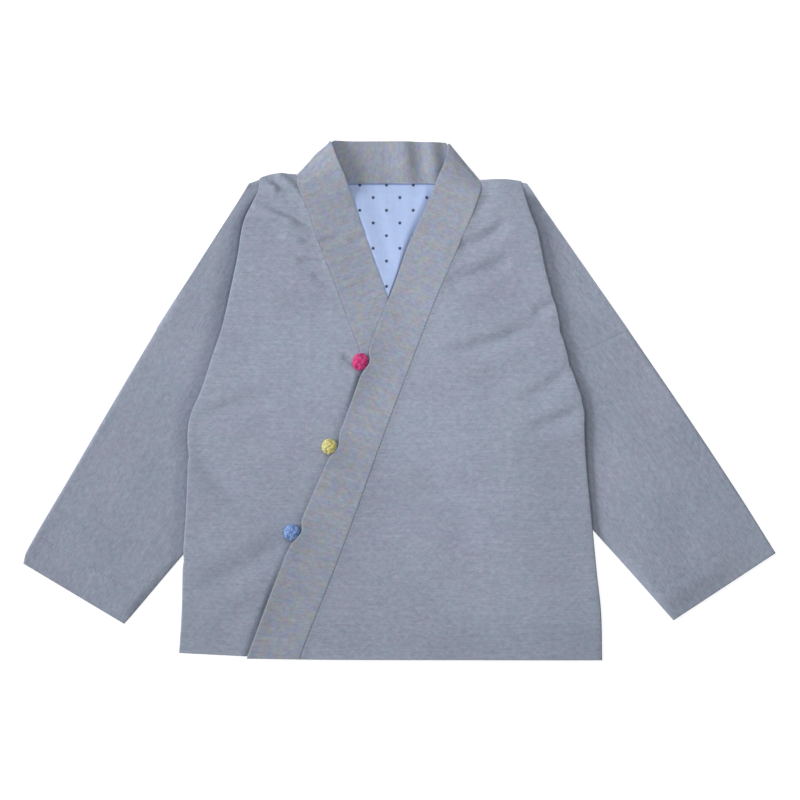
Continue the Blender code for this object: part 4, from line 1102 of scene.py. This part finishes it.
class Shader:
    """A material with short calls for the nodes that its pattern takes."""

    def __init__(self, name, roughness):
        self.material = bpy.data.materials.new(name)
        self.material.use_nodes = True
        self.tree = self.material.node_tree
        self.surface = self.tree.nodes["Principled BSDF"]
        self.surface.inputs["Roughness"].default_value = roughness

    def node(self, kind, settings=None, inputs=None):
        """Add a node, set what it is told to, and link or set its inputs."""
        made = self.tree.nodes.new(kind)
        for key, value in (settings or {}).items():
            setattr(made, key, value)
        for key, value in (inputs or {}).items():
            self.feed(made.inputs[key], value)
        return made

    def feed(self, socket, value):
        """Link an output to a socket, or set the socket's own value."""
        if isinstance(value, bpy.types.NodeSocket):
            self.tree.links.new(value, socket)
        else:
            socket.default_value = value

    def math(self, operation, first, second=0.0, third=0.0):
        """The result of a sum on one, two or three values."""
        inputs = {0: first, 1: second, 2: third}
        return self.node("ShaderNodeMath", {"operation": operation}, inputs).outputs[0]

    def blend(self, share, first, second, kind="MIX"):
        """A colour between two colours, each an output or its red, green and blue."""
        ends = [(*end, 1.0) if isinstance(end, tuple) else end for end in (first, second)]
        settings = {"data_type": "RGBA", "blend_type": kind}
        inputs = {"Factor": share, 6: ends[0], 7: ends[1]}
        return self.node("ShaderNodeMix", settings, inputs).outputs[2]

    def cut_place(self):
        """The point's place in the cloth as it was cut, in millimetres."""
        source = self.node("ShaderNodeUVMap", {"uv_map": "cut"}).outputs[0]
        split = self.node("ShaderNodeSeparateXYZ", None, {0: source})
        return source, split.outputs[0], split.outputs[1]

    def noise(self, vector, scale, detail=2.0, stretch=(1.0, 1.0, 1.0)):
        """Noise from 0 to 1, with hills about 1 / scale across."""
        place = self.node("ShaderNodeMapping", None, {"Vector": vector, "Scale": stretch})
        inputs = {"Vector": place.outputs[0], "Scale": scale, "Detail": detail}
        return self.node("ShaderNodeTexNoise", None, inputs).outputs["Fac"]

    def wave(self, value, pitch):
        """A cosine of a length, with this pitch."""
        return self.math("COSINE", self.math("MULTIPLY_ADD", value, 2 * math.pi / pitch))

    def step(self, value, low, high):
        """A smooth step from 0 to 1."""
        settings = {"interpolation_type": "SMOOTHSTEP"}
        inputs = {"Value": value, "From Min": low, "From Max": high}
        return self.node("ShaderNodeMapRange", settings, inputs).outputs[0]

    def bump(self, height, distance, normal=None):
        """Tilt the surface by a height pattern."""
        inputs = {"Height": height, "Distance": distance, "Strength": 1.0}
        if normal is not None:
            inputs["Normal"] = normal
        return self.node("ShaderNodeBump", None, inputs).outputs[0]

    def finish(self, inputs):
        """Link or set inputs of the surface, and hand over the material."""
        for key, value in inputs.items():
            self.feed(self.surface.inputs[key], value)
        return self.material


def woven_cotton(name, tint_fields):
    """Yarn-dyed cotton: pale and dark yarns, a small staggered figure, slubs and slight tints."""
    shader = Shader(name, 0.85)
    place, u, v = shader.cut_place()
    yarns = shader.math("MULTIPLY", shader.wave(u, YARN), shader.wave(v, YARN))
    figure = shader.math("MULTIPLY", shader.wave(u, FIGURE_ACROSS), shader.wave(v, FIGURE_UP))
    figure = shader.math("MAXIMUM", figure, 0.0)
    patches = shader.noise(place, 0.11)
    figure = shader.math("MULTIPLY", figure, patches)
    streaks = shader.noise(place, 0.75, 2.0, (0.22, 1.0, 1.0))
    slubs = shader.noise(place, 0.42, 1.0, (0.05, 1.0, 1.0))
    grain = shader.noise(place, 0.8)
    blots = shader.noise(place, 0.28, 1.0, (0.8, 1.0, 1.0))
    slow = shader.noise(place, 0.016)
    share = shader.math("MULTIPLY_ADD", yarns, 0.12, 0.5)
    for pattern, weight, middle in (
        (figure, -0.1, 0.1),
        (streaks, 0.38, 0.5),
        (slubs, 0.2, 0.5),
        (grain, 0.5, 0.5),
        (blots, 0.42, 0.5),
        (patches, 0.22, 0.5),
        (slow, 0.3, 0.5),
    ):
        centred = shader.math("SUBTRACT", pattern, middle)
        share = shader.math("ADD", share, shader.math("MULTIPLY", centred, weight))
    colour = shader.blend(share, COTTON_DARK, COTTON_LIGHT)
    for field in tint_fields:
        hills = shader.noise(place, 1.0 / field.size, 1.0)
        tint = shader.math("MULTIPLY_ADD", hills, field.contrast, 0.5 - field.contrast / 2)
        tint = shader.blend(tint, field.first, field.second)
        colour = shader.blend(1.0, colour, tint, "MULTIPLY")
    return shader.finish({
        "Base Color": colour,
        "Normal": shader.bump(streaks, 0.00016, shader.bump(yarns, 0.00005)),
        "Sheen Weight": 0.08,
        "Sheen Roughness": 0.5,
        "Specular IOR Level": 0.2,
    })


def dotted_lining(name):
    """Light blue cotton with small dark dots in a staggered lattice, with painted shade along its
    top where the stand's lower edge shadows it.
    """
    shader = Shader(name, 0.78)
    place, u, v = shader.cut_place()
    nearest = None
    for shift in (0.0, 0.5):
        offsets = []
        for value, pitch, start in zip((u, v), DOT_PITCH, DOT_START):
            cells = shader.math("MULTIPLY_ADD", value, 1.0 / pitch, 100.5 - start / pitch + shift)
            within = shader.math("FRACT", cells)
            offsets.append(shader.math("MULTIPLY", shader.math("SUBTRACT", within, 0.5), pitch))
        square = shader.math("MULTIPLY", offsets[0], offsets[0])
        away = shader.math("SQRT", shader.math("MULTIPLY_ADD", offsets[1], offsets[1], square))
        nearest = away if nearest is None else shader.math("MINIMUM", nearest, away)
    ragged = shader.math("MULTIPLY_ADD", shader.noise(place, 1.4), 0.5, nearest)
    clear = shader.step(ragged, DOT_RADIUS - 0.3, DOT_RADIUS + 0.9)
    yarns = shader.math("MULTIPLY", shader.wave(u, LINING_YARN), shader.wave(v, LINING_YARN))
    tone = shader.math("MULTIPLY_ADD", yarns, 0.2, shader.noise(place, 0.35, 3.0))
    cloth = shader.blend(tone, (0.37, 0.47, 0.725), (0.45, 0.56, 0.825))
    # Painted shadow: a darker blue band just below the neck seam stands for the shadow that the
    # stand's lower edge casts on the lining
    seam = shader.step(v, NECK_SEAM_Y - 2.4, NECK_SEAM_Y - 0.6)
    cloth = shader.blend(seam, cloth, (0.16, 0.22, 0.42))
    return shader.finish({
        "Base Color": shader.blend(clear, (0.03, 0.035, 0.09), cloth),
        "Normal": shader.bump(yarns, 0.00005),
        "Specular IOR Level": 0.25,
    })


def cord_material(name, dark, light):
    """Smooth twisted cord, darker in the grooves of its twist as painted shade."""
    shader = Shader(name, 0.5)
    _, along, around = shader.cut_place()
    lay = shader.math("MULTIPLY_ADD", along, 2 * math.pi / CORD_LAY, around)
    strands = shader.math("COSINE", lay)
    # Painted shade: the colour follows the twist's bump, dark in its grooves and light on its
    # strands
    tone = shader.math("MULTIPLY_ADD", strands, 0.3, 0.5)
    return shader.finish({
        "Base Color": shader.blend(tone, dark, light),
        "Normal": shader.bump(strands, 0.00012),
        "Sheen Weight": 0.2,
        "Subsurface Weight": 0.5,
        "Subsurface Radius": (1.0, 1.0, 1.0),
        "Subsurface Scale": 0.003,
    })


def thread_material(name, colour):
    """Sewing thread, slightly uneven in tone."""
    shader = Shader(name, 0.6)
    place = shader.node("ShaderNodeTexCoord").outputs["Object"]
    lighter = tuple(min(1.0, channel * 1.35) for channel in colour)
    return shader.finish({"Base Color": shader.blend(shader.noise(place, 900.0), colour, lighter)})


def floor_material():
    """A white surface, lit a little from itself."""
    shader = Shader("white floor", 0.9)
    place = shader.node("ShaderNodeTexCoord").outputs["Object"]
    return shader.finish({
        "Base Color": shader.blend(shader.noise(place, 3.0), (0.29, 0.29, 0.29), (0.31, 0.31, 0.31)),
        "Specular IOR Level": 0.0,
        "Emission Color": (1.0, 1.0, 1.0, 1.0),
        "Emission Strength": 0.86,
    })


def lengths_along(path):
    """Length of a path up to each of its points."""
    steps = np.linalg.norm(np.diff(path, axis=0), axis=1)
    return np.concatenate([[0.0], np.cumsum(steps)])


def cord_object(name, path, radius, material, cyclic):
    """Make a round cord along a path of points, as a mesh tube."""
    if cyclic:
        tangent = np.roll(path, -1, 0) - np.roll(path, 1, 0)
    else:
        tangent = np.gradient(path, axis=0)
    tangent /= np.linalg.norm(tangent, axis=1)[:, None]
    side = np.cross(tangent, path - path.mean(0))
    side /= np.linalg.norm(side, axis=1)[:, None]
    up = np.cross(side, tangent)
    angle = np.linspace(0.0, math.tau, CORD_SIDES, endpoint=False)
    ring = np.cos(angle)[None, :, None] * side[:, None] + np.sin(angle)[None, :, None] * up[:, None]
    points = path[:, None] + radius * ring
    length = lengths_along(path)
    rows = length[:, None] + 0.0 * angle
    places = np.stack([rows, angle + 0.0 * rows], -1)
    faces = tube_faces(len(path), CORD_SIDES, cyclic)
    return make_object(
        name, points.reshape(-1, 3), faces, material, places.reshape(-1, 2))


def button_floor(button):
    """Height of the under front's outer side beneath a button."""
    angle = np.linspace(0.0, math.tau, 8, endpoint=False)
    x = button.x + button.width / 2 * np.cos(angle)
    y = button.y + button.length / 2 * np.sin(angle)
    return float(front_height(x, y, False).max()) + CLOTH / 2


def turned_about(button, x, y, z):
    """Points beside a button's middle, turned along the band's edge and moved to their place."""
    cosine = math.cos(BUTTON_TURN)
    sine = math.sin(BUTTON_TURN)
    return np.stack([button.x + x * cosine - y * sine, button.y + x * sine + y * cosine, z], -1)


def knot_pieces(button, material):
    """A ball knotted from one cord, over a small core, with the loop round its foot."""
    floor = button_floor(button)
    middle = floor + BALL_HEIGHT / 2
    along = np.linspace(0.0, math.tau * KNOT_WINDINGS, KNOT_POINTS, endpoint=False)
    phase = along * KNOT_BIGHTS / KNOT_WINDINGS
    tilt = KNOT_TILT * np.cos(phase)
    reach = 1.0 + KNOT_WEAVE * np.sin(2 * phase)
    across = (button.width / 2 - KNOT_CORD) * reach * np.cos(tilt)
    lengthwise = (button.length / 2 - KNOT_CORD) * reach * np.cos(tilt)
    height = (BALL_HEIGHT / 2 - KNOT_TOP) * reach * np.sin(tilt)
    path = turned_about(button, across * np.cos(along), lengthwise * np.sin(along), middle + height)
    ball = cord_object(f"knot_{button.name}", path, KNOT_CORD, material, cyclic=True)

    angle = np.linspace(LOOP_START, LOOP_END, LOOP_POINTS) - BUTTON_TURN
    x = button.width / 2 * LOOP_SHARE * np.cos(angle)
    y = button.length / 2 * LOOP_SHARE * np.sin(angle)
    path = turned_about(button, x, y, np.full(LOOP_POINTS, floor + LOOP_RADIUS - LOOP_SINK))
    loop = cord_object(f"cord_loop_{button.name}", path, LOOP_RADIUS, material, cyclic=False)
    return ball, loop


def core_piece(button, material):
    """The filling of a knotted ball, which shows between its strands; its darker colour is painted
    shade.
    """
    floor = button_floor(button)
    tilt = np.linspace(-math.pi / 2, math.pi / 2, CORE_RINGS + 2)[1:-1, None]
    around = np.linspace(0.0, math.tau, CORE_SIDES, endpoint=False)[None, :]
    x = (button.width / 2 - KNOT_CORD) * np.cos(tilt) * np.cos(around)
    y = (button.length / 2 - KNOT_CORD) * np.cos(tilt) * np.sin(around)
    z = floor + BALL_HEIGHT / 2 + (BALL_HEIGHT / 2 - KNOT_CORD) * np.sin(tilt) + 0.0 * x
    points = turned_about(button, x, y, z)
    faces = tube_faces(*points.shape[:2])
    return make_object(f"core_{button.name}", points.reshape(-1, 3), faces, material)


def stitches(name, path, material):
    """A run of small stitches along a path on the cloth."""
    length = lengths_along(path)
    places, radii, sink = np.array(STITCH_RINGS).T
    angle = np.linspace(0.0, math.tau, STITCH_SIDES, endpoint=False)[:, None]
    one = tube_faces(len(STITCH_RINGS), STITCH_SIDES)
    points = []
    faces = []
    for middle in np.arange(STITCH_PITCH, length[-1] - STITCH_PITCH / 2, STITCH_PITCH):
        at = middle + places * STITCH_LENGTH
        centre = np.stack([np.interp(at, length, path[:, axis]) for axis in range(3)], -1)
        direction = centre[-1] - centre[0]
        direction /= np.linalg.norm(direction)
        sideways = np.cross(direction, (0.0, 0.0, 1.0))
        sideways /= np.linalg.norm(sideways)
        upward = np.cross(sideways, direction)
        ring = np.cos(angle) * sideways + np.sin(angle) * upward
        level = centre + upward * sink[:, None]
        base = len(points) * len(STITCH_RINGS) * STITCH_SIDES
        points.append(level[:, None] + (STITCH_RADIUS * radii)[:, None, None] * ring)
        faces += [[base + corner for corner in face] for face in one]
    return make_object(name, np.array(points).reshape(-1, 3), faces, material)


def band_seam_path():
    """The sewn line where the over band meets its front."""
    seam_y = np.linspace(BAND_STITCH_TOP, OVER_BAND[-1].seam_y + 1.0, 300)
    seam_x = smooth(OVER_BAND, seam_y)
    z = front_height(seam_x + BAND_STITCH_LEVEL_IN, seam_y, True) + CLOTH / 2 - BAND_STITCH_SINK
    return np.stack([seam_x + BAND_STITCH_IN, seam_y, z], -1)


def cuff_path(side):
    """The sewn line of a cuff's hem, on the upper side."""
    along = 1.0 - CUFF_HEM / sleeve_length(side)
    outer = read_point(side.sleeve, along, "along", "outer")
    inner = read_point(side.sleeve, along, "along", "inner")
    share = np.linspace(CUFF_STITCH_MARGIN, 1.0 - CUFF_STITCH_MARGIN, 120)
    x, y = mix(outer, inner, share)
    loft = sleeve_loft(side, x, y)
    z = ARM_FRONT + loft - hem_dip(0.0, loft) + CLOTH / 2 + CUFF_STITCH_RISE
    return np.stack([x, y, z], -1)


def make_floor():
    """The pale surface that the garment lies on."""
    corners = FLOOR_HALF * np.array([(-1, -1, 0), (1, -1, 0), (1, 1, 0), (-1, 1, 0)])
    floor = make_object("floor", corners, [(0, 1, 2, 3)], floor_material())
    floor.location.z = -FLOOR_DROP * MM


def make_camera():
    """A long lens straight above the garment."""
    lens = bpy.data.cameras.new("camera")
    lens.sensor_width = SENSOR
    lens.lens = SENSOR * (CAMERA_HEIGHT - VIEW_LEVEL) / VIEW_WIDTH
    camera = bpy.data.objects.new("camera", lens)
    camera.location = (VIEW_SHIFT, VIEW_SHIFT, CAMERA_HEIGHT)
    bpy.context.scene.collection.objects.link(camera)
    bpy.context.scene.camera = camera


def make_light():
    """Square soft lights that face the middle of the garment, and an even white world."""
    for row in LIGHTS:
        lamp = bpy.data.lights.new(row.name, "AREA")
        lamp.energy = row.power
        lamp.size = row.size
        light = bpy.data.objects.new(row.name, lamp)
        light.location = row.place
        aim = -light.location
        light.rotation_euler = aim.to_track_quat("-Z", "Y").to_euler()
        bpy.context.scene.collection.objects.link(light)
    world = bpy.data.worlds.new("studio")
    world.use_nodes = True
    background = world.node_tree.nodes["Background"].inputs
    background["Color"].default_value = (1.0, 1.0, 1.0, 1.0)
    background["Strength"].default_value = WORLD_STRENGTH
    bpy.context.scene.world = world
    bpy.context.scene.view_settings.view_transform = "Standard"


def dress_jacket():
    """Make every piece, let it ride on the body and hide the solids that the pieces stand for."""
    cotton = woven_cotton("grey-blue cotton", BODY_TINTS)
    band_cotton = woven_cotton("collar cotton", BAND_TINTS)
    lining = dotted_lining("dotted lining")
    thread = thread_material("grey thread", (0.10, 0.115, 0.16))
    cuff_thread = thread_material("cuff thread", (0.17, 0.19, 0.25))

    back = back_piece("back_cloth", cotton)
    under = front_piece("front_under_cloth", RIGHT, UNDER_BAND, False, cotton)
    over = front_piece("front_over_cloth", LEFT, OVER_BAND, True, cotton)
    right = sleeve_piece("sleeve_right_cloth", RIGHT, cotton)
    left = sleeve_piece("sleeve_left_cloth", LEFT, cotton)
    collar = collar_piece("collar_cloth", band_cotton)
    inside = lining_piece("lining_cloth", lining)
    for piece, node in ((back, "back"), (under, "front_under"), (over, "front_over"),
                        (right, "sleeve_right"), (left, "sleeve_left"),
                        (collar, "collar_band"), (inside, "back_lining")):
        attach(piece, "root")
        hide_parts(node)

    band_stitches = stitches("band_stitches", band_seam_path(), thread)
    right_stitches = stitches("cuff_stitches_right", cuff_path(RIGHT), cuff_thread)
    left_stitches = stitches("cuff_stitches_left", cuff_path(LEFT), cuff_thread)
    for piece in (band_stitches, right_stitches, left_stitches):
        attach(piece, "root")

    slots = {"top": "pink_cord", "middle": "yellow_cord", "bottom": "blue_cord"}
    for button in BUTTONS:
        slot = slots[button.name]
        cord = cord_material(f"{slot} twist", button.dark, button.light)
        # Painted shade: the core's colours, darker than the ball's cord, stand for the shade between
        # the knot's strands
        shade = cord_material(f"{slot} core", tuple(0.7 * c for c in button.dark), button.dark)
        ball, loop = knot_pieces(button, cord)
        core = core_piece(button, shade)
        for piece in (ball, loop, core):
            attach(piece, "root")
        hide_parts(f"button_{button.name}")
        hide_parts(f"loop_{button.name}")


make_camera()
make_light()
make_floor()
dress_jacket()
